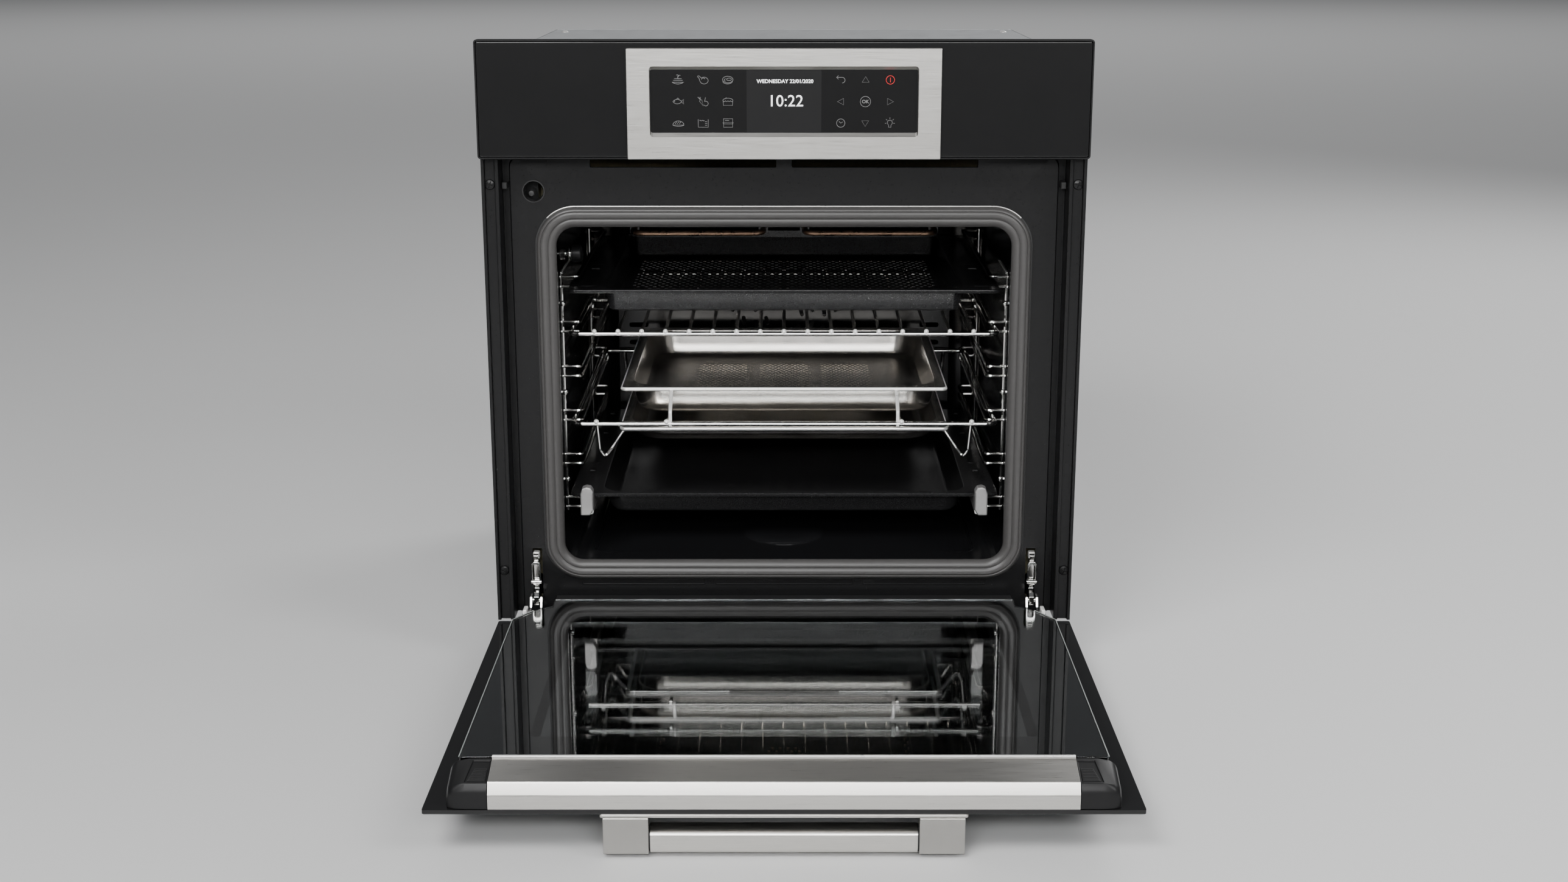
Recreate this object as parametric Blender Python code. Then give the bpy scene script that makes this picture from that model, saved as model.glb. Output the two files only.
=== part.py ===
"""Built-in wall oven, drop-down door open, with its trays, racks and pans in place.

All sizes here are millimetres, and make() turns them into metres. +X is to the right
of a person facing the oven, +Y to the back, +Z up. The origin is the centre of the
base plate's underside. The door's pieces are drawn with the door shut, and the empty
on the hinge axis swings them down to the open rest position.
"""
import math

import bmesh
import bpy
from mathutils import Matrix, Vector

MM = 0.001
GAP = 0.4  # clearance kept between pieces that touch
SHEET = 1.2  # sheet steel

# Outer size
FACE = -285.0  # y of the control panel's face and of the shut door's face
BACK = 264.0  # y of the back panel's outer face
FRONT_HALF = 297.5
BODY_HALF = 280.0
BODY_TOP = 577.0
PANEL_TOP = 595.0
PANEL_BOTTOM = 481.0

# Depths behind the face
CARCASS_FRONT = 46.0
PLATE = 38.0  # main plate of the front frame
CAVITY_REAR = 509.0
FAN_COVER = 482.0

# Cavity, in x and z
CAVITY_HALF = 240.0
CAVITY_FLOOR = 56.0
CAVITY_TOP = 416.0
CAVITY_MIDDLE = 232.0

# Door
DOOR_TOP = 478.0
DOOR_BOTTOM = 25.5
PIVOT_DEPTH = 25.5
PIVOT_Z = 20.5
INNER_FACE = 35.0  # depth of the inner glass's cavity side, door shut
INNER_HALF = 271.0
TRIM_HALF = 243.0

# Hinges
HINGE_X = 257.5

# Shelf guides: the lower wire of each level, and the wire above it
LEVELS = 6
FIRST_LEVEL = 87.0
LEVEL_PITCH = 48.6
PAIR_RISE = 10.5
GUIDE_X = 217.7
GUIDE_R = 2.0
RACK_WALL_X = 236.5
RACK_FRONT = 145.0
RACK_REAR = 470.0

# Accessories
TRAY_HALF = 227.0
TRAY_DEPTH = 375.0
TRAY_FRONT = 104.0
DEEP_TRAY_FRONT = 86.0
DEEP_TRAY_RIM = 118.6
FRAME_WIRE_R = 2.8
PAN_HALF = 175.5
PAN_DEPTH = 325.0


def behind(depth):
    """The y of a point this far behind the oven's face."""
    return FACE + depth


def level(number):
    """The z of a level's lower guide wire, counted from 1 at the bottom."""
    return FIRST_LEVEL + LEVEL_PITCH * (number - 1)


def clear_scene():
    for item in list(bpy.data.objects):
        bpy.data.objects.remove(item)


def material(name, colour, roughness, metallic=0.0, alpha=1.0):
    made = bpy.data.materials.new(name)
    made.use_nodes = True
    shader = made.node_tree.nodes["Principled BSDF"]
    shader.inputs["Base Color"].default_value = (*colour, 1.0)
    shader.inputs["Roughness"].default_value = roughness
    shader.inputs["Metallic"].default_value = metallic
    shader.inputs["Alpha"].default_value = alpha
    made.diffuse_color = (*colour, alpha)
    return made


def make(name, mesh, finish, parent=None, smooth=False):
    """Put a mesh drawn in millimetres into the scene as one named object."""
    mesh.transform(Matrix.Scale(MM, 4))
    mesh.materials.clear()
    mesh.materials.append(finish)
    if smooth:
        mesh.shade_smooth()
        mesh.set_sharp_from_angle(angle=math.radians(35))
    item = bpy.data.objects.new(name, mesh)
    bpy.context.scene.collection.objects.link(item)
    item.parent = parent
    return item


def helper(mesh, parent=None):
    """A hidden object that a Boolean modifier uses."""
    item = bpy.data.objects.new("helper", mesh)
    mesh.transform(Matrix.Scale(MM, 4))
    bpy.context.scene.collection.objects.link(item)
    item.parent = parent
    item.hide_render = True
    item.display_type = "WIRE"
    return item


def boolean(item, operation, mesh):
    modifier = item.modifiers.new(operation.lower(), "BOOLEAN")
    modifier.operation = operation
    modifier.solver = "EXACT"
    modifier.object = helper(mesh, item.parent)
    return item


def finish_mesh(bm, name="shape"):
    bmesh.ops.remove_doubles(bm, verts=bm.verts, dist=0.001)
    bmesh.ops.recalc_face_normals(bm, faces=bm.faces)
    mesh = bpy.data.meshes.new(name)
    bm.to_mesh(mesh)
    bm.free()
    return mesh


def joined(meshes):
    """Several meshes as one, their bodies still separate."""
    bm = bmesh.new()
    for mesh in meshes:
        bm.from_mesh(mesh)
    return finish_mesh(bm)


def place(axis, u, v, w):
    """A point from its two outline coordinates and its place along the axis."""
    return {"X": (w, u, v), "Y": (u, w, v), "Z": (u, v, w)}[axis]


def prism(outline, axis, start, end):
    """An outline extruded along an axis. Outlines are (y, z), (x, z) or (x, y)."""
    bm = bmesh.new()
    near = [bm.verts.new(place(axis, u, v, start)) for u, v in outline]
    far = [bm.verts.new(place(axis, u, v, end)) for u, v in outline]
    bm.faces.new(near)
    bm.faces.new(far)
    for i in range(len(outline)):
        j = (i + 1) % len(outline)
        bm.faces.new((near[i], near[j], far[j], far[i]))
    return finish_mesh(bm)


def block(low, high):
    (x0, y0, z0), (x1, y1, z1) = low, high
    return prism([(x0, y0), (x1, y0), (x1, y1), (x0, y1)], "Z", z0, z1)


def disc(u, v, radius, sides, axis, start, end):
    turns = [2 * math.pi * i / sides for i in range(sides)]
    outline = [(u + radius * math.cos(t), v + radius * math.sin(t)) for t in turns]
    return prism(outline, axis, start, end)


def rounded(u0, u1, v0, v1, radius, steps=4):
    """A rectangle's outline with round corners."""
    points = []
    centres = ((u1, v1, 0), (u0, v1, 1), (u0, v0, 2), (u1, v0, 3))
    for u, v, quarter in centres:
        cu = u - radius if u == u1 else u + radius
        cv = v - radius if v == v1 else v + radius
        for i in range(steps + 1):
            turn = math.pi / 2 * (quarter + i / steps)
            points.append((cu + radius * math.cos(turn), cv + radius * math.sin(turn)))
    return points


def loft(loops, closed=False):
    """A closed body through loops of equal length, capped unless it closes on itself."""
    bm = bmesh.new()
    rings = [[bm.verts.new(p) for p in loop] for loop in loops]
    count = len(loops[0])
    pairs = list(zip(rings, rings[1:]))
    if closed:
        pairs.append((rings[-1], rings[0]))
    else:
        bm.faces.new(rings[0])
        bm.faces.new(rings[-1])
    for one, other in pairs:
        for i in range(count):
            j = (i + 1) % count
            bm.faces.new((one[i], one[j], other[j], other[i]))
    return finish_mesh(bm)


def frame_ring(outer, inner, axis, start, end):
    """A flat ring between two outlines of equal length."""
    at = [(outer, start), (outer, end), (inner, end), (inner, start)]
    loops = [[place(axis, u, v, w) for u, v in outline] for outline, w in at]
    return loft(loops, closed=True)


def strip(line, thickness):
    """The outline of a folded sheet: its face line, and the same line set back."""
    points = [Vector(p) for p in line]
    ways = [(b - a).normalized() for a, b in zip(points, points[1:])]
    normals = [Vector((-w.y, w.x)) for w in ways]
    back = []
    for i, point in enumerate(points):
        first, second = normals[max(i - 1, 0)], normals[min(i, len(normals) - 1)]
        back.append(point + (first + second) * thickness / (1 + first.dot(second)))
    return [tuple(p) for p in points] + [tuple(p) for p in reversed(back)]


def turned(profile, centre, axis, sides=20):
    """A profile of (radius, place along the axis) turned about an axis through centre."""
    bm = bmesh.new()
    rings = []
    for radius, along in profile:
        ring = []
        for i in range(sides):
            turn = 2 * math.pi * i / sides
            u, v = radius * math.cos(turn), radius * math.sin(turn)
            ring.append(bm.verts.new(Vector(centre) + Vector(place(axis, u, v, along))))
        rings.append(ring)
    bm.faces.new(rings[0])
    bm.faces.new(rings[-1])
    for one, other in zip(rings, rings[1:]):
        for i in range(sides):
            j = (i + 1) % sides
            bm.faces.new((one[i], one[j], other[j], other[i]))
    return finish_mesh(bm)


def bent(points, radius, steps=2, closed=False):
    """A wire's route with its corners rounded to a bend radius."""
    points = [Vector(p) for p in points]
    route = []
    for i, here in enumerate(points):
        ends = not closed and i in (0, len(points) - 1)
        if ends:
            route.append(here)
            continue
        before = (points[i - 1] - here).normalized()
        after = (points[(i + 1) % len(points)] - here).normalized()
        half = before.angle(after) / 2
        reach = radius / math.tan(half)
        start, end = here + before * reach, here + after * reach
        for k in range(steps + 1):
            s = k / steps
            route.append(start * (1 - s) ** 2 + here * 2 * s * (1 - s) + end * s**2)
    return route


def wire(route, radius, closed=False):
    """A round wire of six sides along a route."""
    curve = bpy.data.curves.new("wire", "CURVE")
    curve.dimensions = "3D"
    curve.bevel_depth = radius
    curve.bevel_resolution = 1
    curve.use_fill_caps = True
    curve.render_resolution_u = 0
    spline = curve.splines.new("POLY")
    spline.points.add(len(route) - 1)
    for point, place_mm in zip(spline.points, route):
        point.co = (*place_mm, 1.0)
    spline.use_cyclic_u = closed
    carrier = bpy.data.objects.new("wire", curve)
    tube = bpy.data.meshes.new_from_object(carrier)
    bpy.data.objects.remove(carrier)
    return joined([tube])


def welded(name, carriers, crossing, finish, parent=None):
    """Pieces that cross the carriers, and not each other, welded on to them."""
    item = make(name, joined(carriers), finish, parent, smooth=True)
    return boolean(item, "UNION", joined(crossing))


def pressed_tray(half, front, depth, rim, floor, well, slope, corner, steps=3):
    """A pressed sheet tray. well is the rim's width: sides, front, back."""
    side, near, far = well
    y0, y1 = behind(front), behind(front + depth)
    outer = (-half, half, y0, y1, 6.0)
    mouth = (-half + side, half - side, y0 + near, y1 - far, corner)
    base = (
        mouth[0] + slope,
        mouth[1] - slope,
        mouth[2] + slope,
        mouth[3] - slope,
        corner - slope / 2,
    )

    def loop(box, grow, z):
        u0, u1, v0, v1, radius = box
        shape = rounded(u0 - grow, u1 + grow, v0 - grow, v1 + grow, radius + grow, steps)
        return [(u, v, z) for u, v in shape]

    return loft(
        [
            loop(base, 0, floor),
            loop(mouth, 0, rim),
            loop(outer, 0, rim),
            loop(outer, 0, rim - SHEET),
            loop(mouth, SHEET, rim - SHEET),
            loop(base, SHEET, floor - SHEET),
        ]
    )


# Carcass ---------------------------------------------------------------------------


def build_carcass(paint):
    inside = BODY_HALF - SHEET
    lip = inside - 1.1
    base_line = [(lip, 12.0), (lip, 0.0), (-lip, 0.0), (-lip, 12.0)]
    base = prism(strip(base_line[::-1], SHEET), "Y", behind(CARCASS_FRONT + 2), BACK - 3)
    make("base_plate", base, paint["galvanised"])
    for side, name in ((-1, "left_side_panel"), (1, "right_side_panel")):
        edge = BODY_HALF - 0.2
        line = [
            (edge - 12, behind(CARCASS_FRONT)),
            (edge, behind(CARCASS_FRONT)),
            (edge, BACK),
            (edge - 12, BACK),
        ]
        outline = [(side * x, y) for x, y in strip(line, SHEET)]
        make(name, prism(outline, "Z", 2.0, BODY_TOP), paint["galvanised"])
    flange = BODY_HALF - 13.5
    back = block((-flange, BACK - SHEET, 2.0), (flange, BACK, BODY_TOP))
    item = make("back_panel", back, paint["galvanised"])
    boolean(item, "DIFFERENCE", block((-236, BACK - 9, 514), (-164, BACK + 9, 566)))
    top_low = (-inside + 1, behind(CARCASS_FRONT + 6), BODY_TOP - SHEET)
    top = block(top_low, (inside - 1, BACK - 3, BODY_TOP))
    make("top_cover", top, paint["galvanised"])


def build_front_frame(paint):
    right = [
        (272.0, PLATE),
        (273.5, 44.0),
        (280.5, 44.0),
        (280.5, 15.0),
        (284.5, 15.0),
        (284.5, 20.0),
        (FRONT_HALF - 1, 20.0),
        (FRONT_HALF - 1, 14.5),
    ]
    line = [(-x, behind(d)) for x, d in reversed(right)]
    line += [(x, behind(d)) for x, d in right]
    sheet = prism(strip(line, 1.0), "Z", 1.5, PANEL_BOTTOM + 19)
    item = make("front_frame", sheet, paint["enamel"])
    y0, y1 = behind(PLATE - 9), behind(PLATE + 9)
    cuts = [prism(rounded(-236, 236, 57, 413, 26, 5), "Y", y0, y1)]
    for side in (-1, 1):
        slot = sorted((side * (HINGE_X - 5), side * (HINGE_X + 4.6)))
        cuts.append(block((slot[0], y0, 24), (slot[1], y1, 66)))
        vent = sorted((side * 7.6, side * 194.4))
        cuts.append(block((vent[0], y0, 467.5), (vent[1], y1, 475)))
    cuts.append(disc(-249, 445, 5, 12, "Y", y0, y1))
    boolean(item, "DIFFERENCE", joined(cuts))


def build_control_panel(paint):
    glass = rounded(-FRONT_HALF, FRONT_HALF, PANEL_BOTTOM, PANEL_TOP, 3, 2)
    make("control_glass", prism(glass, "Y", FACE, FACE + 4), paint["black_glass"])
    carrier = rounded(-294, 294, PANEL_BOTTOM + 3, PANEL_TOP - 3, 3, 1)
    make(
        "panel_carrier", prism(carrier, "Y", FACE + 4 + GAP, FACE + 13.6), paint["plastic"]
    )
    outer = rounded(-151.5, 151.5, PANEL_BOTTOM, PANEL_TOP - 8, 1.5, 2)
    inner = rounded(-129.5, 129.5, PANEL_BOTTOM + 25.5, PANEL_TOP - 25.5, 3, 2)
    ring = frame_ring(outer, inner, "Y", FACE - 3, FACE - GAP)
    make("panel_steel_frame", ring, paint["steel"])
    screen = block((-125, FACE + 14, 503), (125, FACE + 26, 573))
    make("display_module", screen, paint["plastic"])


def build_services(paint):
    board = block((-150, behind(80), 530), (110, behind(190), BODY_TOP - SHEET - GAP))
    make("control_electronics", board, paint["plastic"])
    block_mesh = block((-234, BACK - 46, 516), (-166, BACK - 0.6, 564))
    make("terminal_block", block_mesh, paint["plastic"])
    axis_y, axis_z = behind(330), 533.4
    hood = []
    for i in range(11):
        turn = math.radians(-60 + 24 * i)
        hood.append((axis_y + 42 * math.cos(turn), axis_z + 42 * math.sin(turn)))
    hood.append((axis_y - 95, axis_z - 38))
    make("blower_housing", prism(strip(hood, 1.5), "X", -130, 130), paint["galvanised"])
    fins, outline = 16, []
    for i in range(fins):
        for radius, share in ((30, 0.0), (30, 0.25), (23, 0.35), (23, 0.9)):
            turn = 2 * math.pi * (i + share) / fins
            outline.append((axis_y + radius * math.cos(turn), axis_z + radius * math.sin(turn)))
    make("blower_wheel", prism(outline, "X", -122, 122), paint["aluminium"])


# Cavity ----------------------------------------------------------------------------


def build_cavity(paint):
    mouth = behind(PLATE + 1 + GAP)
    rear = behind(CAVITY_REAR)

    def shell_loop(grow, y):
        shape = rounded(
            -CAVITY_HALF - grow,
            CAVITY_HALF + grow,
            CAVITY_FLOOR - grow,
            CAVITY_TOP + grow,
            26 + grow,
        )
        return [(u, y, v) for u, v in shape]

    shell = loft(
        [
            shell_loop(0, rear),
            shell_loop(0, mouth),
            shell_loop(SHEET, mouth),
            shell_loop(SHEET, rear + SHEET),
        ]
    )
    liner = make("cavity_liner", shell, paint["enamel"])
    hole = disc(0, CAVITY_MIDDLE, 7, 10, "Y", rear - 9, rear + 9)
    boolean(liner, "DIFFERENCE", hole)
    wool_in = rounded(-243, 243, 45, 419, 26)
    wool_out = rounded(-272, 272, 18, 446, 40)
    wool = frame_ring(wool_out, wool_in, "Y", behind(86), rear - 4)
    make("insulation_blanket", wool, paint["wool"])
    outer = rounded(-247.5, 247.5, 42, 428, 38)
    inner = rounded(-229.5, 229.5, 61, 409, 20)
    seal = frame_ring(outer, inner, "Y", behind(29.5), behind(PLATE - GAP))
    make("cavity_gasket", seal, paint["silicone"])
    drain = [(46, 0), (46, 2), (40, 5), (16, 6)]
    seat = (0, behind(145), CAVITY_FLOOR + GAP)
    make("drain_cover", turned(drain, seat, "Z", 18), paint["enamel"])
    probe = [(2, 0), (2, 5), (6, 5), (6, 11), (2.5, 11), (2.5, 14), (7, 14), (7, 17)]
    probe += [(9.2, 18), (9.2, 26), (6.5, 28)]
    seat = (-CAVITY_HALF + GAP, behind(125), 368.7)
    make("probe_socket", turned(probe, seat, "X", 12), paint["chrome"])
    lens = [(12, -10), (26, -7), (32, -2), (32, 0)]
    seat = (0, behind(452), CAVITY_TOP - GAP)
    make("cavity_lamp", turned(lens, seat, "Z", 16), paint["clear_glass"])


def build_heating(paint):
    rear = behind(CAVITY_REAR)
    cover = block((-205, behind(FAN_COVER), 80), (205, behind(FAN_COVER + 1), 395))
    item = make("fan_cover", cover, paint["enamel"])
    slots = []
    for i in range(7):
        z = CAVITY_MIDDLE + 16 * (i - 3)
        reach = math.sqrt(58**2 - (16 * (i - 3)) ** 2)
        slots.append(block((-reach, behind(470), z - 4), (reach, behind(490), z + 4)))
    boolean(item, "DIFFERENCE", joined(slots))
    front, hub = behind(486), behind(504)
    plate = disc(0, CAVITY_MIDDLE, 62, 20, "Y", hub - 2, hub)
    parts = [disc(0, CAVITY_MIDDLE, 4, 8, "Y", front, rear + 3)]
    for i in range(12):
        turn = Matrix.Rotation(2 * math.pi * i / 12, 4, "Y")
        blade = block((20, front, -1), (58, hub - 1, 1))
        blade.transform(Matrix.Translation((0, 0, CAVITY_MIDDLE)) @ turn)
        parts.append(blade)
    welded("convection_wheel", [plate], parts, paint["steel"])
    motor = [(30, 0), (38, 4), (38, 26), (20, 33)]
    seat = (0, rear + 3 + GAP, CAVITY_MIDDLE)
    make("convection_motor", turned(motor, seat, "Y", 16), paint["galvanised"], smooth=True)
    circle = [2 * math.pi * i / 20 for i in range(20)]
    ring = [(82 * math.cos(t), behind(495), CAVITY_MIDDLE + 82 * math.sin(t)) for t in circle]
    make("ring_heater", wire(ring, 3.2, closed=True), paint["element"], smooth=True)
    z, near, far = 389.0, behind(132), behind(440)
    route = [
        (-159, behind(481.6), z),
        (-159, near, z),
        (-22, near, z),
        (-22, far, z),
        (22, far, z),
        (22, near, z),
        (159, near, z),
        (159, behind(481.6), z),
    ]
    make("grill_element", wire(bent(route, 16), 3.2), paint["element"], smooth=True)
    z, near, far = CAVITY_FLOOR - 6.2, behind(120), behind(480)
    route = [(-170, far, z), (-170, near, z), (170, near, z), (170, far, z)]
    make("bottom_heater", wire(bent(route, 40, 3), 3.2), paint["element"], smooth=True)
    boiler = rounded(-225, -105, 95, 205, 12, 2)
    make("steam_generator", prism(boiler, "Y", rear + 3, rear + 34), paint["steel"])


# Shelf guides and accessories ------------------------------------------------------


def build_side_rack(side, name, paint):
    wall, inner = side * RACK_WALL_X, side * GUIDE_X
    front, rear = behind(RACK_FRONT), behind(RACK_REAR)
    low, high = level(1), level(LEVELS) + PAIR_RISE
    posts, rails = [], []
    for y in (front, rear):
        ends = [(wall, y, low - 3), (wall, y, high + 3)]
        posts.append(wire(ends, GUIDE_R + 0.3))
    for number in range(1, LEVELS + 1):
        for rise in (0, PAIR_RISE):
            z = level(number) + rise
            route = [(wall, front, z), (inner, front, z), (inner, rear, z), (wall, rear, z)]
            rails.append(wire(bent(route, 5), GUIDE_R))
    welded(name, posts, rails, paint["chrome"])


def build_runner(side, word, paint):
    """The telescopic runner of the lowest level: a fixed rail, and a slide with its cap."""
    y0, y1 = behind(RACK_FRONT + 6), behind(RACK_REAR - 6)
    rail = sorted((side * 209.2, side * 215.2))
    low = level(1) + PAIR_RISE + GUIDE_R + 0.4
    fixed = block((rail[0], y0, level(1) - 1), (rail[1], y1, low + 14))
    make(word + "_runner_rail", fixed, paint["steel"])
    bar = sorted((side * 201.0, side * 208.8))
    slide = block((bar[0], behind(72), low), (bar[1], y1 - 10, low + 17))
    cap_edges = sorted((side * 199.2, side * 213.2))
    cap = rounded(cap_edges[0], cap_edges[1], low, low + 32, 4, 2)
    item = make(word + "_runner_slide", slide, paint["steel"])
    boolean(item, "UNION", prism(cap, "Y", behind(64), behind(73)))


def build_trays(paint):
    well = (34, 12, 14)
    deep = pressed_tray(
        TRAY_HALF, DEEP_TRAY_FRONT, TRAY_DEPTH, DEEP_TRAY_RIM, 93.0, well, 9.0, 22.0
    )
    make("deep_tray", deep, paint["enamel"])
    rim = level(6) + GUIDE_R + GAP + SHEET
    shallow = pressed_tray(
        TRAY_HALF, TRAY_FRONT, TRAY_DEPTH, rim, rim - 24, (40, 8, 10), 6.0, 12.0
    )
    make("perforated_tray", shallow, paint["enamel"])
    upper = pressed_tray(PAN_HALF, 135.0, PAN_DEPTH, 222.0, 191.2, (11, 11, 11), 7.0, 38.0)
    make("perforated_pan", upper, paint["steel"])
    lower = pressed_tray(PAN_HALF, 114.0, PAN_DEPTH, 183.6, 166.0, (11, 11, 11), 5.0, 38.0)
    make("solid_pan", lower, paint["steel"])


def frame_loop(z):
    """The closed outer wire of a grid."""
    half = TRAY_HALF - FRAME_WIRE_R
    y0, y1 = behind(TRAY_FRONT) + FRAME_WIRE_R, behind(TRAY_FRONT + TRAY_DEPTH) - FRAME_WIRE_R
    corners = [(-half, y0, z), (half, y0, z), (half, y1, z), (-half, y1, z)]
    return wire(bent(corners, 10, closed=True), FRAME_WIRE_R, closed=True), y0, y1


def build_grids(paint):
    z = level(5) + GUIDE_R + 0.3 + FRAME_WIRE_R
    loop, y0, y1 = frame_loop(z)
    wires = []
    bars, pitch = 17, 24.85
    for i in range(bars):
        x = pitch * (i - (bars - 1) / 2)
        wires.append(wire([(x, y0 - 1, z + 0.7), (x, y1 + 1, z + 0.7)], 2.0))
    welded("wire_rack", [loop], wires, paint["chrome"])

    z = level(3) + GUIDE_R + 0.3 + FRAME_WIRE_R
    loop, y0, y1 = frame_loop(z)
    wires = []
    for x in (-124.7, 124.7):
        wires.append(wire([(x, y0 - 1, z - 1.9), (x, y1 + 1, z - 1.9)], 2.0))
    for y, inward in ((y0, 12), (y1, -30)):
        half_route = [(198, y, z), (194, y, 163), (172, y + inward, 179.7)]
        route = half_route + [(-x, v, w) for x, v, w in reversed(half_route)]
        wires.append(wire(bent(route, 6, 2), 2.0))
    for x in (-120.4, 120.4):
        wires.append(wire([(x, y0, z), (x, y0 + 6, z + 14), (x, y0 + 32, 218.0)], 2.0))
    welded("pan_rack", [loop], wires, paint["chrome"])


# Hinges and door -------------------------------------------------------------------


def build_hinge_root(side, word, paint):
    """The claw that hooks into the front frame, with its pin, and its latch."""
    x = side * HINGE_X
    side_view = [
        (20.5, 16),
        (30.5, 16),
        (34, 25),
        (50, 25),
        (50, 36),
        (37, 36),
        (37, 56),
        (52, 56),
        (52, 64),
        (31, 64),
        (29, 58),
        (29, 30),
        (20.5, 26),
    ]
    outline = [(behind(d), z) for d, z in side_view]
    claw = make(word + "_hinge_claw", prism(outline, "X", x - 2.5, x + 2.5), paint["chrome"])
    pin = disc(behind(PIVOT_DEPTH), PIVOT_Z, 2.5, 12, "X", x - 6.5, x + 6.5)
    boolean(claw, "UNION", pin)
    legs = [block((x + s - 0.7, behind(25), 38), (x + s + 0.7, behind(28), 62)) for s in (-4, 4)]
    bridge = block((x - 4.6, behind(25.2), 59), (x + 4.6, behind(27.8), 61.8))
    welded(word + "_hinge_latch", [bridge], legs, paint["chrome"])


def door_block(low, high):
    """A block of the shut door, from depths and heights to the hinge axis's own frame."""
    x0, x1 = sorted((low[0], high[0]))
    return block(
        (x0, low[1] - PIVOT_DEPTH, low[2] - PIVOT_Z),
        (x1, high[1] - PIVOT_DEPTH, high[2] - PIVOT_Z),
    )


def door_outline(points):
    return [(x, z - PIVOT_Z) for x, z in points]


def build_door_glass(hinge, paint):
    pane = rounded(-FRONT_HALF, FRONT_HALF, DOOR_BOTTOM, DOOR_TOP, 2, 1)
    front = -PIVOT_DEPTH
    outer = prism(door_outline(pane), "Y", front, front + 4)
    make("door_outer_glass", outer, paint["black_glass"], hinge)
    middle = door_block((-246, 14, 72), (246, 17, 436))
    make("door_middle_glass", middle, paint["clear_glass"], hinge)
    half = [(INNER_HALF, 441), (INNER_HALF, 107), (252, 80), (240, 66), (240, 45)]
    shape = [(-x, z) for x, z in reversed(half)] + half
    depth = INNER_FACE - PIVOT_DEPTH
    inner = prism(door_outline(shape), "Y", depth - 4, depth)
    make("door_inner_glass", inner, paint["black_glass"], hinge)


def build_door_frame(hinge, paint):
    for side, word in ((-1, "left"), (1, "right")):
        line = [(262, 4.5), (INNER_HALF - 1, 4.5), (INNER_HALF - 1, 30.5), (262, 30.5)]
        shape = [(side * x, d - PIVOT_DEPTH) for x, d in strip(line, SHEET)]
        rail = prism(shape, "Z", 46 - PIVOT_Z, 438 - PIVOT_Z)
        item = make(word + "_door_profile", rail, paint["galvanised"], hinge)
        notch = door_block((side * 250, 20, 30), (side * 280, 40, 104))
        boolean(item, "DIFFERENCE", notch)
        cap_low = (side * (TRIM_HALF + GAP), 4.5, 440)
        cap_line = [(4.5, 442), (30.5, 442), (26, 474), (19, 477.4), (4.5, 477.4)]
        shape = [(d - PIVOT_DEPTH, z - PIVOT_Z) for d, z in cap_line]
        edges = sorted((cap_low[0], side * 277.5))
        make(word + "_end_cap", prism(shape, "X", *edges), paint["plastic"], hinge)
    trim = [(4.5, 442), (34.6, 442), (25.8, 475.4), (20, 477.8), (4.5, 477.8)]
    shape = [(d - PIVOT_DEPTH, z - PIVOT_Z) for d, z in trim]
    make("door_top_trim", prism(shape, "X", -TRIM_HALF, TRIM_HALF), paint["steel"], hinge)
    bottom = door_block((-236, 4.5, 12), (236, 30.5, 40))
    make("door_bottom_profile", bottom, paint["plastic"], hinge)


def build_handle(hinge, paint):
    plate = door_block((-151.5, -3, 454), (151.5, -GAP, 477.8))
    make("handle_plate", plate, paint["steel"], hinge)
    bar = rounded(-36.2, -15, 455, 477.6, 5, 2)
    shape = [(d - PIVOT_DEPTH, z - PIVOT_Z) for d, z in bar]
    item = make("handle_bar", prism(shape, "X", -149.2, 149.2), paint["steel"], hinge)
    posts = []
    for side in (-1, 1):
        low, high = (side * 111.4, -16, 455), (side * 149.2, -3 - GAP, 477.6)
        posts.append(door_block(low, high))
    boolean(item, "UNION", joined(posts))


def build_door_hinge(side, word, hinge, paint):
    """The channel inside the door, its lugs round the claw's pin, and its spring."""
    x = side * HINGE_X
    line = [(x - 6.8, 18), (x - 6.8, 6.4), (x + 6.8, 6.4), (x + 6.8, 18)]
    outline = [(u, v - PIVOT_DEPTH) for u, v in strip(line, SHEET)]
    channel = prism(outline, "Z", 28 - PIVOT_Z, 230 - PIVOT_Z)
    item = make(word + "_door_hinge", channel, paint["galvanised"], hinge)
    lugs = []
    for offset in (-1, 1):
        edges = sorted((x + offset * 4.2, x + offset * 6.2))
        side_view = [(16.5, 50), (7, 50), (7, 30), (18, 14), (31, 15), (31, 26), (20, 30)]
        shape = [(d - PIVOT_DEPTH, z - PIVOT_Z) for d, z in side_view]
        lugs.append(prism(shape, "X", *edges))
    boolean(item, "UNION", joined(lugs))
    boolean(item, "DIFFERENCE", disc(0, 0, 2.9, 12, "X", x - 9, x + 9))
    profile, coils, pitch = [], 9, 10.0
    for i in range(coils):
        profile += [(3.4, pitch * i), (4.8, pitch * (i + 0.5))]
    seat = (x, 12.9 - PIVOT_DEPTH, 120 - PIVOT_Z)
    make(word + "_hinge_spring", turned(profile, seat, "Z", 8), paint["steel"], hinge)


def build_door_switch(paint):
    x, z = -249.0, 445.0
    tip = [(2.9, -19.5), (2.9, 6)]
    seat = (x, behind(PLATE), z)
    make("door_switch_plunger", turned(tip, seat, "Y", 10), paint["plastic"])
    body = block((x - 11, behind(PLATE + 23.5), z - 14), (x + 2, behind(PLATE + 44), z + 14))
    make("door_switch", body, paint["plastic"])


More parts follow.
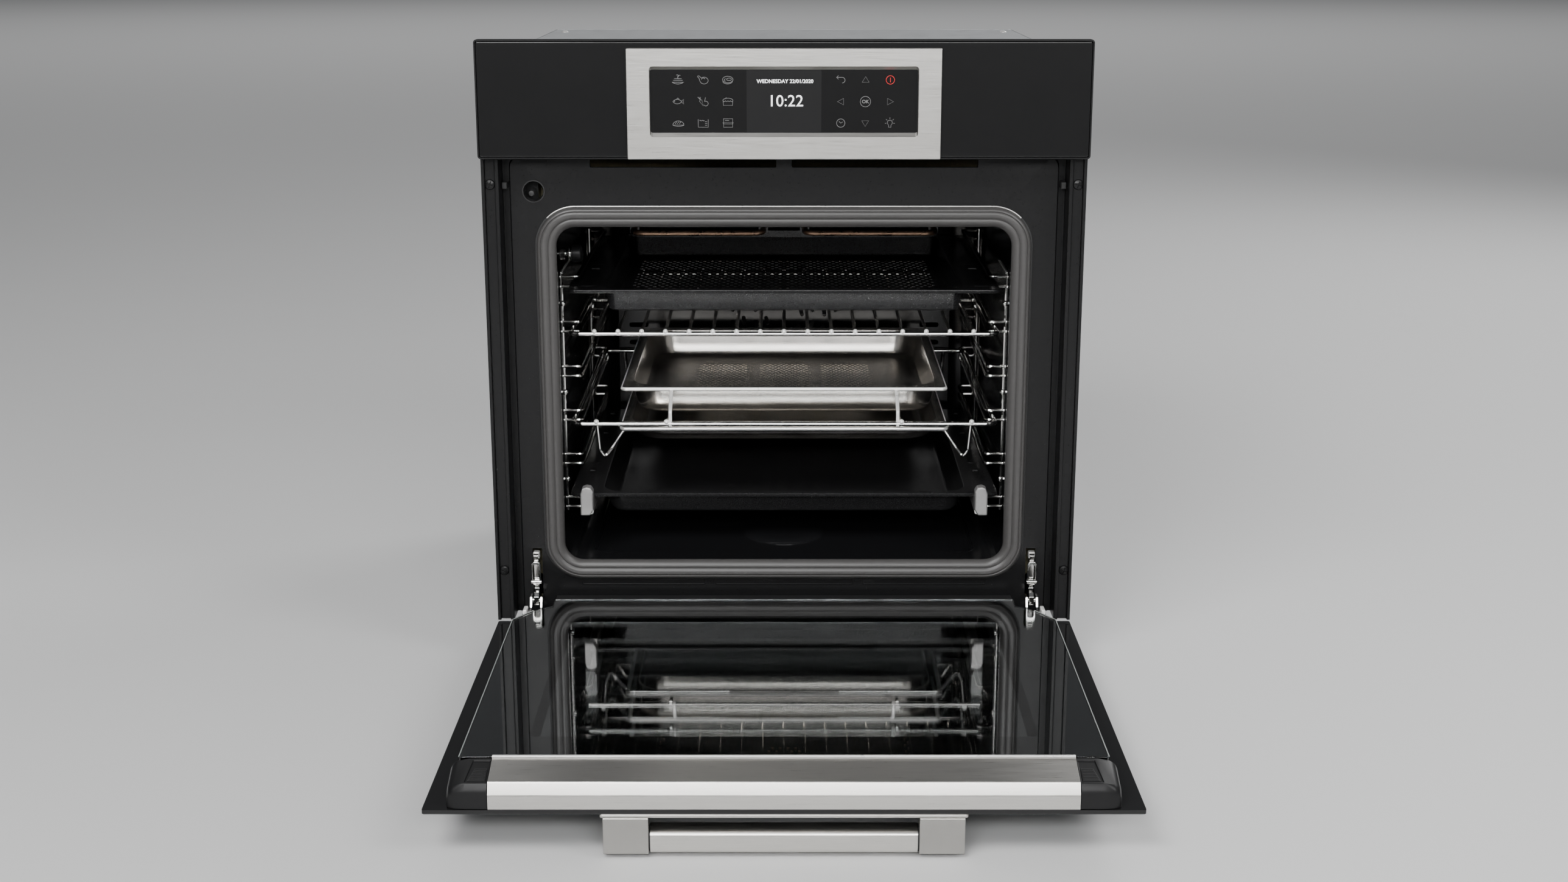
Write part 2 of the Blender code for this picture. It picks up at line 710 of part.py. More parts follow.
def build():
    clear_scene()
    paint = {
        "galvanised": material("galvanised", (0.62, 0.63, 0.63), 0.45, 0.9),
        "enamel": material("enamel", (0.045, 0.047, 0.052), 0.3),
        "black_glass": material("black_glass", (0.01, 0.01, 0.012), 0.05),
        "clear_glass": material("clear_glass", (0.7, 0.75, 0.75), 0.03, alpha=0.3),
        "plastic": material("plastic", (0.03, 0.03, 0.032), 0.5),
        "steel": material("steel", (0.6, 0.6, 0.59), 0.3, 1.0),
        "aluminium": material("aluminium", (0.7, 0.7, 0.7), 0.35, 1.0),
        "chrome": material("chrome", (0.75, 0.75, 0.76), 0.12, 1.0),
        "silicone": material("silicone", (0.6, 0.6, 0.6), 0.6),
        "wool": material("wool", (0.75, 0.72, 0.55), 0.95),
        "element": material("element", (0.3, 0.2, 0.15), 0.4, 0.9),
    }
    build_carcass(paint)
    build_front_frame(paint)
    build_control_panel(paint)
    build_services(paint)
    build_cavity(paint)
    build_heating(paint)
    build_trays(paint)
    build_grids(paint)
    build_door_switch(paint)
    hinge = bpy.data.objects.new("door_hinge_axis", None)
    bpy.context.scene.collection.objects.link(hinge)
    hinge.location = (0, behind(PIVOT_DEPTH) * MM, PIVOT_Z * MM)
    hinge.rotation_euler = (math.radians(90), 0, 0)
    build_door_glass(hinge, paint)
    build_door_frame(hinge, paint)
    build_handle(hinge, paint)
    for side, word in ((-1, "left"), (1, "right")):
        build_side_rack(side, word + "_side_rack", paint)
        build_runner(side, word, paint)
        build_hinge_root(side, word, paint)
        build_door_hinge(side, word, hinge, paint)


build()
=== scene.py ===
"""Looks of the built-in wall oven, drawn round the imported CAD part.

Lengths are millimetres until piece() turns them into metres. "depth" is the distance
behind the oven's face. Door pieces are drawn with the door shut, and piece() opens it.
"""

import math

import bmesh
import bpy
from mathutils import Matrix, Vector


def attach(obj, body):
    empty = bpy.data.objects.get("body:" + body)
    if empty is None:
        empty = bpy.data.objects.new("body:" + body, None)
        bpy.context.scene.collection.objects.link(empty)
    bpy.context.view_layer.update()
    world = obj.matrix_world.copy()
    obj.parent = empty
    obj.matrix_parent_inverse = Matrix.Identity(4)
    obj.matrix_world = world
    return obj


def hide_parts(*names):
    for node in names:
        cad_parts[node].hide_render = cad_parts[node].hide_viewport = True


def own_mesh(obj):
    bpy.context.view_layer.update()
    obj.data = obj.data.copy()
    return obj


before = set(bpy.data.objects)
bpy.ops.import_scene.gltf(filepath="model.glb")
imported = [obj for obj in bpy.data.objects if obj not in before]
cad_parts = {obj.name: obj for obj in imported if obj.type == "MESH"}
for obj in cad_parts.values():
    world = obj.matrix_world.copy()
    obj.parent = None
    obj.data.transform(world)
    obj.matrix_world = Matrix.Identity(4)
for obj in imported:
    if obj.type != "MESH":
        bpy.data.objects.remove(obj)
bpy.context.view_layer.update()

MM = 0.001
FACE, BACK = -285.0, 264.0  # y of the oven's face and of its back panel
HALF_WIDTH = 297.5
TOP, PANEL_FOOT, DOOR_TOP, DOOR_FOOT = 595.0, 481.1, 478.0, 25.5
SIDE_WALL, ROOF = 279.9, 577.0  # outsides of the casing
PIVOT = Vector((0, FACE + 25.5, 20.5))  # on the door's hinge axis
OPEN = (
    Matrix.Translation(PIVOT)
    @ Matrix.Rotation(math.radians(90), 4, "X")
    @ Matrix.Translation(-PIVOT)
)
FAN_HEIGHT = 232.0
LEVELS = [87.0 + 48.6 * i for i in range(6)]  # lower wires of the shelf guides
PAIR_RISE = 10.5  # from a guide's lower wire to its upper one
HINGE_X = 257.5
SWITCH = (-249, 445)  # x and z of the door switch's pin
SIDES = ((-1, "left"), (1, "right"))


def behind(depth):
    return FACE + depth


# Shapes ----------------------------------------------------------------------------


def tidy(bm):
    bmesh.ops.remove_doubles(bm, verts=bm.verts, dist=0.001)
    bmesh.ops.recalc_face_normals(bm, faces=bm.faces)
    mesh = bpy.data.meshes.new("shape")
    bm.to_mesh(mesh)
    bm.free()
    return mesh


def joined(meshes):
    bm = bmesh.new()
    for mesh in meshes:
        bm.from_mesh(mesh)
    mesh = bpy.data.meshes.new("shape")
    bm.to_mesh(mesh)
    bm.free()
    return mesh


def moved(mesh, *steps):
    """A copy of a mesh with the matrices applied, last one first."""
    copy = mesh.copy()
    for step in reversed(steps):
        copy.transform(step)
    return copy


def shift(x, y, z):
    return Matrix.Translation((x, y, z))


def spin(degrees, axis):
    return Matrix.Rotation(math.radians(degrees), 4, axis)


def place(axis, u, v, w):
    return {"X": (w, u, v), "Y": (u, w, v), "Z": (u, v, w)}[axis]


def loft(loops, closed=False, caps=True):
    bm = bmesh.new()
    rings = [[bm.verts.new(p) for p in loop] for loop in loops]
    count = len(rings[0])
    pairs = list(zip(rings, rings[1:]))
    if closed:
        pairs.append((rings[-1], rings[0]))
    elif caps:
        bm.faces.new(rings[0])
        bm.faces.new(rings[-1])
    for one, other in pairs:
        for i in range(count):
            j = (i + 1) % count
            bm.faces.new((one[i], one[j], other[j], other[i]))
    return tidy(bm)


def tapered(near, start, far, end, axis):
    """A solid between two outlines that have the same number of points."""
    ends = ((near, start), (far, end))
    return loft([[place(axis, u, v, w) for u, v in outline] for outline, w in ends])


def prism(outline, axis, start, end):
    return tapered(outline, start, outline, end, axis)


def at_depth(profile):
    return [(u, behind(depth)) for u, depth in profile]


def slab(outline, axis, start, end):
    """A prism told in depths. X outlines are (depth, z), and Y outlines are (x, z)."""
    if axis == "X":
        return prism([(behind(d), z) for d, z in outline], "X", start, end)
    return prism(outline, "Y", behind(start), behind(end))


def span(side, near, far):
    """The ends of a stretch of x on one side of the oven, in rising order."""
    return sorted((side * near, side * far))


def block(low, high):
    (x0, y0, z0), (x1, y1, z1) = low, high
    return prism([(x0, y0), (x1, y0), (x1, y1), (x0, y1)], "Z", z0, z1)


def circle(u, v, radius, sides=24):
    turns = [2 * math.pi * i / sides for i in range(sides)]
    return [(u + radius * math.cos(t), v + radius * math.sin(t)) for t in turns]


def rounded(u0, u1, v0, v1, radius, steps=6):
    radius = max(min(radius, (u1 - u0) / 2 - 0.01, (v1 - v0) / 2 - 0.01), 0.01)
    points = []
    corners = (
        (u1 - radius, v1 - radius, 0),
        (u0 + radius, v1 - radius, 1),
        (u0 + radius, v0 + radius, 2),
        (u1 - radius, v0 + radius, 3),
    )
    for cu, cv, quarter in corners:
        for i in range(steps + 1):
            turn = math.pi / 2 * (quarter + i / steps)
            points.append((cu + radius * math.cos(turn), cv + radius * math.sin(turn)))
    return points


def grown(box, radius, grow, steps):
    u0, u1, v0, v1 = box
    return rounded(u0 - grow, u1 + grow, v0 - grow, v1 + grow, radius + grow, steps)


def hoop(box, radius, profile, axis="Y", steps=8, closed=True):
    """A section of (growth outwards, place along the axis) swept round a rounded box."""
    loops = []
    for grow, along in profile:
        loops.append([place(axis, u, v, along) for u, v in grown(box, radius, grow, steps)])
    return loft(loops, closed=closed)


def ringed(rows, steps):
    """A closed ring through rounded boxes, from rows of box, radius, growth and depth."""
    loops = []
    for box, radius, grow, depth in rows:
        loops.append([(u, behind(depth), v) for u, v in grown(box, radius, grow, steps)])
    return loft(loops, closed=True)


def strip(line, thickness):
    points = [Vector(p) for p in line]
    ways = [(b - a).normalized() for a, b in zip(points, points[1:])]
    normals = [Vector((-w.y, w.x)) for w in ways]
    back = []
    for i, point in enumerate(points):
        first, second = normals[max(i - 1, 0)], normals[min(i, len(normals) - 1)]
        back.append(point + (first + second) * thickness / (1 + first.dot(second)))
    return [tuple(p) for p in points] + [tuple(p) for p in reversed(back)]


def bent(points, radius, steps=5, closed=False):
    points = [Vector(p) for p in points]
    route = []
    for i, here in enumerate(points):
        if not closed and i in (0, len(points) - 1):
            route.append(here)
            continue
        before = (points[i - 1] - here).normalized()
        after = (points[(i + 1) % len(points)] - here).normalized()
        reach = radius / math.tan(before.angle(after) / 2)
        start, end = here + before * reach, here + after * reach
        for k in range(steps + 1):
            s = k / steps
            route.append(start * (1 - s) ** 2 + here * 2 * s * (1 - s) + end * s**2)
    return route


def softened(outline, radius, steps):
    """A closed outline with its corners rounded."""
    return [(p.x, p.y) for p in bent([(u, v, 0) for u, v in outline], radius, steps, True)]


def mirrored(half):
    """A closed outline from its right-hand half."""
    return [(-x, z) for x, z in reversed(half)] + half


def folded(line, radius, thickness):
    """The outline of a sheet folded with round bends."""
    soft = bent([(u, v, 0) for u, v in line], radius, 3)
    return strip([(p.x, p.y) for p in soft], thickness)


def wire(route, radius, closed=False, sides=3):
    curve = bpy.data.curves.new("wire", "CURVE")
    curve.dimensions = "3D"
    curve.bevel_depth = radius
    curve.bevel_resolution = sides
    curve.use_fill_caps = True
    curve.render_resolution_u = 0
    spline = curve.splines.new("POLY")
    spline.points.add(len(route) - 1)
    for point, at in zip(spline.points, route):
        point.co = (*at, 1.0)
    spline.use_cyclic_u = closed
    carrier = bpy.data.objects.new("wire", curve)
    mesh = bpy.data.meshes.new_from_object(carrier)
    bpy.data.objects.remove(carrier)
    return joined([mesh])


def settled(item):
    """The mesh that an object comes to, once the object itself is taken away."""
    bpy.context.scene.collection.objects.link(item)
    graph = bpy.context.evaluated_depsgraph_get()
    mesh = bpy.data.meshes.new_from_object(item.evaluated_get(graph))
    bpy.data.objects.remove(item)
    return mesh


def ball(centre, radius):
    bm = bmesh.new()
    bmesh.ops.create_uvsphere(bm, u_segments=14, v_segments=8, radius=radius)
    bm.transform(Matrix.Translation(centre))
    return tidy(bm)


def turned(profile, centre, axis, sides=32):
    loops = []
    for radius, along in profile:
        ring = circle(0, 0, radius, sides)
        loops.append([Vector(centre) + Vector(place(axis, u, v, along)) for u, v in ring])
    return loft(loops)


def cut(mesh, cutters, operation="DIFFERENCE"):
    """A mesh with a Boolean carried out."""
    carrier = bpy.data.objects.new("carrier", mesh)
    tool = bpy.data.objects.new("tool", joined(cutters))
    bpy.context.scene.collection.objects.link(tool)
    modifier = carrier.modifiers.new("cut", "BOOLEAN")
    modifier.operation = operation
    modifier.solver = "EXACT"
    modifier.object = tool
    result = settled(carrier)
    bpy.data.objects.remove(tool)
    return result


def patch(u0, u1, v0, v1, z):
    """A flat rectangle of one face."""
    bm = bmesh.new()
    bm.faces.new([bm.verts.new(p) for p in ((u0, v0, z), (u1, v0, z), (u1, v1, z), (u0, v1, z))])
    return tidy(bm)


def perforated(u0, u1, v0, v1, pitch, radius, z):
    """A flat sheet with staggered round holes, as one surface."""
    bm = bmesh.new()
    columns, rows = round((u1 - u0) / pitch), round((v1 - v0) / pitch)
    du, dv = (u1 - u0) / columns, (v1 - v0) / rows
    turns = [math.pi / 4 * k for k in range(8)]
    square = [(1, 0), (1, 1), (0, 1), (-1, 1), (-1, 0), (-1, -1), (0, -1), (1, -1)]
    for row in range(rows):
        v = v0 + dv * (row + 0.5)
        offset = du / 2 if row % 2 else 0
        for column in range(columns - row % 2):
            u = u0 + du * (column + 0.5) + offset
            edge = [bm.verts.new((u + a * du / 2, v + b * dv / 2, z)) for a, b in square]
            hole = [
                bm.verts.new((u + radius * math.cos(t), v + radius * math.sin(t), z))
                for t in turns
            ]
            for k in range(8):
                m = (k + 1) % 8
                bm.faces.new((edge[k], edge[m], hole[m], hole[k]))
        if row % 2:
            for a, b in ((u0, u0 + du / 2), (u1 - du / 2, u1)):
                corners = ((a, -1), (b, -1), (b, 1), (a, 1))
                bm.faces.new([bm.verts.new((c, v + s * dv / 2, z)) for c, s in corners])
    return tidy(bm)


# Finishes --------------------------------------------------------------------------


def fill(node, values):
    for socket, value in values.items():
        node.inputs[socket].default_value = value


def surface(
    name, colour, rough, metal=0.0, grain=60, tone=0.06, wear=0.04, relief=0.0, shine=0.5
):
    """A finish whose colour, gloss and relief vary with a stretched noise."""
    made = bpy.data.materials.new(name)
    made.use_nodes = True
    nodes, links = made.node_tree.nodes, made.node_tree.links
    shader = nodes["Principled BSDF"]
    fill(shader, {"Metallic": metal, "Specular IOR Level": shine})
    coords = nodes.new("ShaderNodeTexCoord")
    mapping = nodes.new("ShaderNodeMapping")
    fill(mapping, {"Scale": grain if isinstance(grain, tuple) else (grain, grain, grain)})
    noise = nodes.new("ShaderNodeTexNoise")
    fill(noise, {"Scale": 1.0, "Detail": 5.0, "Roughness": 0.6})
    links.new(coords.outputs["Object"], mapping.inputs["Vector"])
    links.new(mapping.outputs["Vector"], noise.inputs["Vector"])
    ramp = nodes.new("ShaderNodeValToRGB")
    for stop, position, change in zip(ramp.color_ramp.elements, (0.3, 0.7), (-tone, tone)):
        stop.position = position
        stop.color = (*[min(c * (1 + change), 1) for c in colour], 1)
    links.new(noise.outputs["Fac"], ramp.inputs["Fac"])
    links.new(ramp.outputs["Color"], shader.inputs["Base Color"])
    spread = nodes.new("ShaderNodeMapRange")
    fill(spread, {"From Min": 0.3, "From Max": 0.7})
    fill(spread, {"To Min": max(rough - wear, 0.01), "To Max": rough + wear})
    links.new(noise.outputs["Fac"], spread.inputs["Value"])
    links.new(spread.outputs["Result"], shader.inputs["Roughness"])
    if relief:
        bump = nodes.new("ShaderNodeBump")
        fill(bump, {"Strength": relief, "Distance": 0.0001})
        links.new(noise.outputs["Fac"], bump.inputs["Height"])
        links.new(bump.outputs["Normal"], shader.inputs["Normal"])
    return made


def glowing(name, colour, strength):
    made = surface(name, colour, 0.5)
    glow = {"Emission Color": (*colour, 1), "Emission Strength": strength}
    fill(made.node_tree.nodes["Principled BSDF"], glow)
    return made


def see_through(name, colour, ior):
    made = surface(name, colour, 0.012, tone=0.01, wear=0.004)
    fill(made.node_tree.nodes["Principled BSDF"], {"Transmission Weight": 1.0, "IOR": ior})
    return made


PAINT = {  # finish: (slot, material)
    "galvanised": ("galvanised", surface(
        "galvanised_sheet", (0.47, 0.48, 0.49), 0.4, 1.0, 70, 0.05, 0.035, 0.04
    )),
    "plate": ("enamel", surface(
        "frame_enamel", (0.0068, 0.0068, 0.0071), 0.3, 0.0, 500, 0.08, 0.03, 0.04, 0.26
    )),
    "cavity": ("enamel", surface(
        "cavity_enamel", (0.0075, 0.0076, 0.0083), 0.17, 0.0, 700, 0.2, 0.05, 0.1
    )),
    "tray": ("enamel", surface(
        "tray_enamel", (0.0150, 0.0150, 0.0155), 0.2, 0.0, 900, 0.3, 0.05, 0.15
    )),
    "black_glass": ("black_glass", surface(
        "black_glass", (0.0105, 0.0105, 0.0107), 0.035, 0.0, 12, 0.05, 0.01, 0.0, 0.36
    )),
    "frit": ("black_glass", surface("black_print", (0.0025, 0.0025, 0.0027), 0.1)),
    "plastic": ("plastic", surface(
        "black_plastic", (0.0075, 0.0075, 0.0078), 0.4, 0.0, 1500, 0.1, 0.06, 0.1, 0.25
    )),
    "rubber": ("plastic", surface("black_rubber", (0.012, 0.012, 0.012), 0.6)),
    "silicone": ("silicone", surface(
        "grey_silicone", (0.052, 0.050, 0.0490), 0.4, 0.0, 300, 0.05, 0.05, 0.08
    )),
    "brushed": ("steel", surface(
        "brushed_steel", (0.62, 0.605, 0.575), 0.32, 1.0, (30, 2400, 2400), 0.05, 0.05, 0.12
    )),
    # painted shade: a darker copy of the brushed steel for the upright handle posts, for the shade
    # they stand in
    "brushed_up_shaded": ("steel", surface(
        "brushed_steel_upright_shaded", (0.40, 0.39, 0.37), 0.33, 1.0, (30, 2400, 30), 0.05, 0.05, 0.12
    )),
    "pan": ("steel", surface("pan_steel", (0.74, 0.71, 0.67), 0.22, 1.0, 25, 0.04, 0.03, 0.0)),
    "satin": ("steel", surface("satin_steel", (0.66, 0.65, 0.63), 0.36, 1.0, (500, 500, 12), 0.06)),
    "chrome": ("chrome", surface("bright_chrome", (0.78, 0.77, 0.75), 0.12, 1.0, 90, 0.04, 0.03)),
    "zinc": ("chrome", surface("zinc_white", (0.62, 0.61, 0.59), 0.38, 0.75, 80, 0.06, 0.06)),
    # painted highlight: a near-white finish for rims, wire ends, the trim lip and the hinge pads,
    # standing in for their highlights
    "bead_highlight": ("chrome", surface("painted_highlight_edge", (0.96, 0.95, 0.93), 0.3, 0.35, 80, 0.02, 0.04)),
    "ground": ("clear_glass", surface("ground_glass_edge", (0.30, 0.32, 0.31), 0.5, 0.0, 80, 0.06)),
    "grip": ("plastic", surface(
        "ribbed_plastic", (0.017, 0.017, 0.0173), 0.42, 0.0, 900, 0.1, 0.05, 0.1, 0.3
    )),
    "silver": ("chrome", surface("silver_cap", (0.33, 0.325, 0.32), 0.4, 0.6, 80, 0.05, 0.05)),
    "tin": ("steel", surface("dark_steel", (0.17, 0.165, 0.155), 0.4, 0.8, 80, 0.08, 0.05)),
    "copper": ("element", surface("heater_sheath", (0.30, 0.19, 0.13), 0.3, 0.9, 120, 0.3, 0.08)),
    "wool": ("wool", surface("mineral_wool", (0.5, 0.46, 0.3), 0.95, 0.0, 200, 0.25)),
    "aluminium": ("aluminium", surface("aluminium", (0.6, 0.6, 0.6), 0.35, 1.0)),
    "clear": ("clear_glass", see_through("clear_glass", (0.93, 0.95, 0.95), 1.56)),
    "lamp": ("clear_glass", see_through("lamp_glass", (0.95, 0.93, 0.88), 1.5)),
    "screen": ("black_glass", surface(
        "screen", (0.0165, 0.0165, 0.0168), 0.05, 0.0, 12, 0.05, 0.01
    )),
    "ink": (None, glowing("icon_grey", (0.2, 0.2, 0.2), 0.11)),
    "white": (None, glowing("digits_white", (0.95, 0.95, 0.95), 1.1)),
    "red": (None, glowing("power_red", (0.65, 0.02, 0.02), 0.5)),
}


def ease(item, bevel, angle, harden):
    """Round the sharp edges of an object."""
    modifier = item.modifiers.new("edges", "BEVEL")
    modifier.width = bevel * MM
    modifier.segments = 2
    modifier.limit_method = "ANGLE"
    modifier.angle_limit = math.radians(angle)
    modifier.harden_normals = harden


def piece(name, shape, paint, nodes=(), body="chassis", bevel=0.0, angle=35):
    """Finish one or more meshes as a named piece that rides on a body and stands for nodes."""
    slot, material = PAINT[paint]
    mesh = joined(shape) if isinstance(shape, list) else shape
    if body == "door":
        mesh.transform(OPEN)
    mesh.transform(Matrix.Scale(MM, 4))
    mesh.materials.clear()
    mesh.materials.append(material)
    mesh.shade_smooth()
    mesh.set_sharp_from_angle(angle=math.radians(angle))
    item = bpy.data.objects.new(name, mesh)
    bpy.context.scene.collection.objects.link(item)
    if bevel:
        ease(item, bevel, 40, True)
    even = item.modifiers.new("shading", "WEIGHTED_NORMAL")
    even.weight = 100
    even.keep_sharp = True
    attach(item, body)
    if nodes:
        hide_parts(*nodes)
    return item


def repaint(paint, *nodes, bevel=0.0):
    """Show CAD nodes as they are, in a finish."""
    for node in nodes:
        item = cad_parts[node]
        item.data.materials.clear()
        item.data.materials.append(PAINT[paint][1])
        if bevel:
            ease(item, bevel, 50, False)


def screw(radius):
    """A cross-head screw's head at the origin, facing -Y."""
    profile = [(1, 0), (1, -0.5 / radius), (0.86, -0.3), (0.45, -0.44)]
    profile = [(radius * u, radius * along) for u, along in profile]
    head = turned(profile, (0, 0, 0), "Y", 20)
    arm, width = radius * 0.62, radius * 0.11
    cross = [
        block((-arm, -radius, -width), (arm, -radius * 0.18, width)),
        block((-width, -radius, -arm), (width, -radius * 0.18, arm)),
    ]
    return cut(head, [cut(cross[0], [cross[1]], "UNION")])


# Carcass ---------------------------------------------------------------------------


def build_carcass():
    repaint("galvanised", "base_plate", "top_cover", bevel=0.3)
    ribs = []
    for side in (-1, 1):
        for y in (-150, -50, 50, 150):
            foot = rounded(y - 5, y + 5, 60, 520, 5, 5)
            crest = rounded(y - 3.8, y + 3.8, 61.2, 518.8, 3.8, 5)
            ribs.append(tapered(foot, side * 279.4, crest, side * 281.0, "X"))
    piece("side_ribs", ribs, "galvanised")
    repaint("galvanised", "left_side_panel", "right_side_panel", bevel=0.6)


def build_rear_sheet():
    slots = []
    for row in range(6):
        for column in range(5):
            x, z = -40 + 48 * column, 405 + 17 * row
            slot = rounded(x - 18, x + 18, z - 2.6, z + 2.6, 2.5, 4)
            slots.append(prism(slot, "Y", BACK - 8, BACK + 8))
    sheet = block((-266.5, BACK - 1.2, 2.0), (266.5, BACK, ROOF))
    inlet = prism(rounded(-236, -164, 514, 566, 4), "Y", BACK - 9, BACK + 9)
    piece("rear_sheet", cut(sheet, slots + [inlet]), "galvanised", ["back_panel"])
    section = [(5, BACK - 0.8), (4.6, BACK + 0.1), (2, BACK + 1.8), (-2, BACK + 1.8)]
    section += [(-4.6, BACK + 0.1), (-5, BACK - 0.8)]
    dish = hoop((-150, 150, 90, 360), 30, section, steps=10)
    piece("rear_embossing", dish, "galvanised")


def build_carcass_screws():
    head = screw(4.2)
    places = [(x, z) for x in (-258, -90, 90, 258) for z in (14, 565)]
    places += [(x, z) for z in (150, 290, 430) for x in (-258, 258)]
    screws = [moved(head, shift(x, BACK, z), spin(180, "Z")) for x, z in places]
    for side in (-1, 1):
        for y in (-220, 245):
            for z in (25, 290, 560):
                screws.append(moved(head, shift(side * SIDE_WALL, y, z), spin(90 * side, "Z")))
    for x in (-262, 262):
        for y in (-200, 0, 200):
            screws.append(moved(head, shift(x, y, ROOF - 0.1), spin(-90, "X")))
    piece("carcass_screws", screws, "zinc")


def build_services():
    vents = []
    for i in range(9):
        y = -60 + 12 * i
        for u0, u1 in ((-180, -60), (60, 180)):
            slot = rounded(u0, u1, y - 2.2, y + 2.2, 2.1, 4)
            vents.append(prism(slot, "Z", ROOF + 0.02, ROOF + 0.5))
    # painted shade: the vent slots are flat black pads on the roof, standing in for the dark
    # openings
    piece("top_vents", vents, "rubber")
    box = prism(rounded(-233.5, -166.5, 516.5, 563.5, 4), "Y", BACK - 46, BACK - 0.6)
    piece("terminal_box", box, "plastic", ["terminal_block"], bevel=1.0)
    gland = [(9, -0.6), (9, 2), (7.6, 3), (7.6, 5), (4.4, 5.4), (4.4, 1)]
    piece("cable_gland", turned(gland, (-183, BACK, 530), "Y"), "plastic")
    repaint("plastic", "control_electronics", "display_module", bevel=0.8)
    repaint("galvanised", "blower_housing")
    repaint("aluminium", "blower_wheel")
    repaint("satin", "steam_generator", bevel=3.0)
    repaint("galvanised", "convection_motor")
    repaint("wool", "insulation_blanket")
    repaint("copper", "bottom_heater", "ring_heater")


def build_front_frame():
    outer, hole = (-272, 272, 2, 478.5), (-236, 236, 57, 413)
    rows = [
        (outer, 9, 1.0, 44), (outer, 9, 0.9, 40), (outer, 9, 0.4, 38.7), (outer, 9, -0.6, 38),
        (hole, 26, 3.2, 38), (hole, 26, 1.2, 38.5), (hole, 26, 0.2, 39.6), (hole, 26, 0, 44),
    ]
    plate = ringed(rows, 8)
    cuts = []
    for side in (-1, 1):
        hinge = rounded(*span(side, HINGE_X - 5.4, HINGE_X + 4.8), 17, 73, 1.5, 3)
        vent = rounded(*span(side, 7.6, 192.5), 468.5, 476.5, 1.2, 3)
        cuts += [slab(hinge, "Y", 30, 50), slab(vent, "Y", 30, 50)]
    cuts.append(slab(circle(*SWITCH, 10.6, 36), "Y", 30, 50))
    piece("main_plate", cut(plate, cuts), "plate", ["front_frame"])
    profile = [(0.6, 37.99), (0.2, 37.75), (-0.9, 37.75), (-1.2, 37.99), (-1.2, 39), (0.6, 39)]
    grooves = [
        hoop((*ends, 33, 41.5), 2.5, at_depth(profile))
        for ends in ((-211, -82), (-72, 72), (82, 211))
    ]
    piece("lower_embossing", grooves, "plate")
    line = [(271.4, 44.6), (280.2, 44.6), (280.2, 16.2), (284.2, 16.2)]
    line += [(284.2, 20), (294, 20), (294, 15.6), (297.2, 15.6)]
    channels = []
    for side in (-1, 1):
        shape = at_depth([(side * x, d) for x, d in folded(line, 0.9, 0.9)])
        channels.append(prism(shape, "Z", 2, 479.6))
    channels.append(block((-297, behind(15), 479.0), (297, behind(45), 480.4)))
    piece("side_channels", channels, "plate")


def build_frame_fittings():
    head = screw(5.2)
    places = [(x, behind(19.9), z) for x in (-289.4, 289.4) for z in (55, 454)]
    screws = [moved(head, shift(*place), spin(20, "Y")) for place in places]
    piece("fixing_screws", screws, "plate")
    ring = [(11.3, 37.9), (11.2, 37.6), (10.2, 37.5), (9.6, 38.4), (9.0, 45.5), (10.2, 45.5)]
    ring += [(10.2, 37.9)]
    loops = [[(u, behind(d), v) for u, v in circle(*SWITCH, r, 40)] for r, d in ring]
    piece("switch_recess", loft(loops, closed=True), "rubber")
    clips = []
    for side in (-1, 1):
        near, far = span(side, 274.2, 279.4)
        clips.append(block((near, behind(30), 448), (far, behind(44), 455)))
    piece("groove_clips", clips, "rubber", bevel=0.8)
    pin = [(1.2, -17.0), (2.6, -16.4), (2.8, -15), (2.8, 6)]
    pin = turned(pin, (SWITCH[0], behind(38), SWITCH[1]), "Y", 20)
    piece("switch_pin", pin, "rubber", ["door_switch_plunger"], "switch_pin")
    repaint("plastic", "door_switch")


def build_gasket():
    profile = [
        (-9.6, 37.6), (-9.7, 35.6), (-8.8, 33.6), (-6.8, 31.6), (-4.4, 30.5), (-2.4, 30.6),
        (-1.5, 31.5), (-0.6, 30.7), (1.2, 29.7), (3.6, 29.5), (5.2, 30.1), (5.9, 31.1),
        (6.7, 30.4), (8.2, 30.8), (9.3, 32.4), (9.8, 35.2), (9.8, 37.6),
    ]
    box = (-237.2, 237.2, 51.6, 419.4)
    seal = hoop(box, 29, at_depth(profile), steps=12)
    item = piece("door_seal", seal, "silicone", ["cavity_gasket"], angle=50)
    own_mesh(item)
    # painted shadow: a thin black ring on the plate round the seal stands in for the shadow at the
    # seal's foot
    seat = [(9.9, 37.9), (9.9, 37.3), (11.6, 37.3), (11.9, 37.9)]
    piece("seal_shadow_ring", hoop(box, 29, at_depth(seat), steps=12), "rubber")
    # painted highlight: a zinc wire along the top of the seal stands in for the light caught by the
    # plate's edge there
    grow = 10.7
    high = box[3] + grow
    top = sorted((u, v) for u, v in grown(box, 29, grow, 16) if v > high - 14)
    edge = wire([(u, behind(36.4), v) for u, v in top], 0.75, False, 2)
    piece("seal_edge_highlight", edge, "zinc")
    clips = [
        block((u - 0.9, behind(35.9), high - 1.6), (u + 0.9, behind(37.9), high + 0.9))
        for u in (-207, -124, -41.4, 41.4, 124, 207)
    ]
    piece("seal_clips", clips, "rubber", bevel=0.3)


# Control panel ---------------------------------------------------------------------


def strokes(paths, width=0.21):
    """Thin drawn lines just in front of the control glass, from (x, z) points."""
    made = []
    for path in paths:
        closed = len(path) > 2 and path[0] == path[-1]
        points = path[:-1] if closed else path
        route = [(x, FACE - 0.06, z) for x, z in points]
        made.append(wire(route, width, closed, 1))
    return made


def arc(x, z, radius, start, end, squeeze=1.0, steps=16):
    turns = [math.radians(start + (end - start) * i / steps) for i in range(steps + 1)]
    return [(x + radius * math.cos(t), z + radius * squeeze * math.sin(t)) for t in turns]


def ring_path(x, z, radius, steps=28):
    loop = arc(x, z, radius, 0, 360, 1.0, steps)
    loop[-1] = loop[0]
    return loop


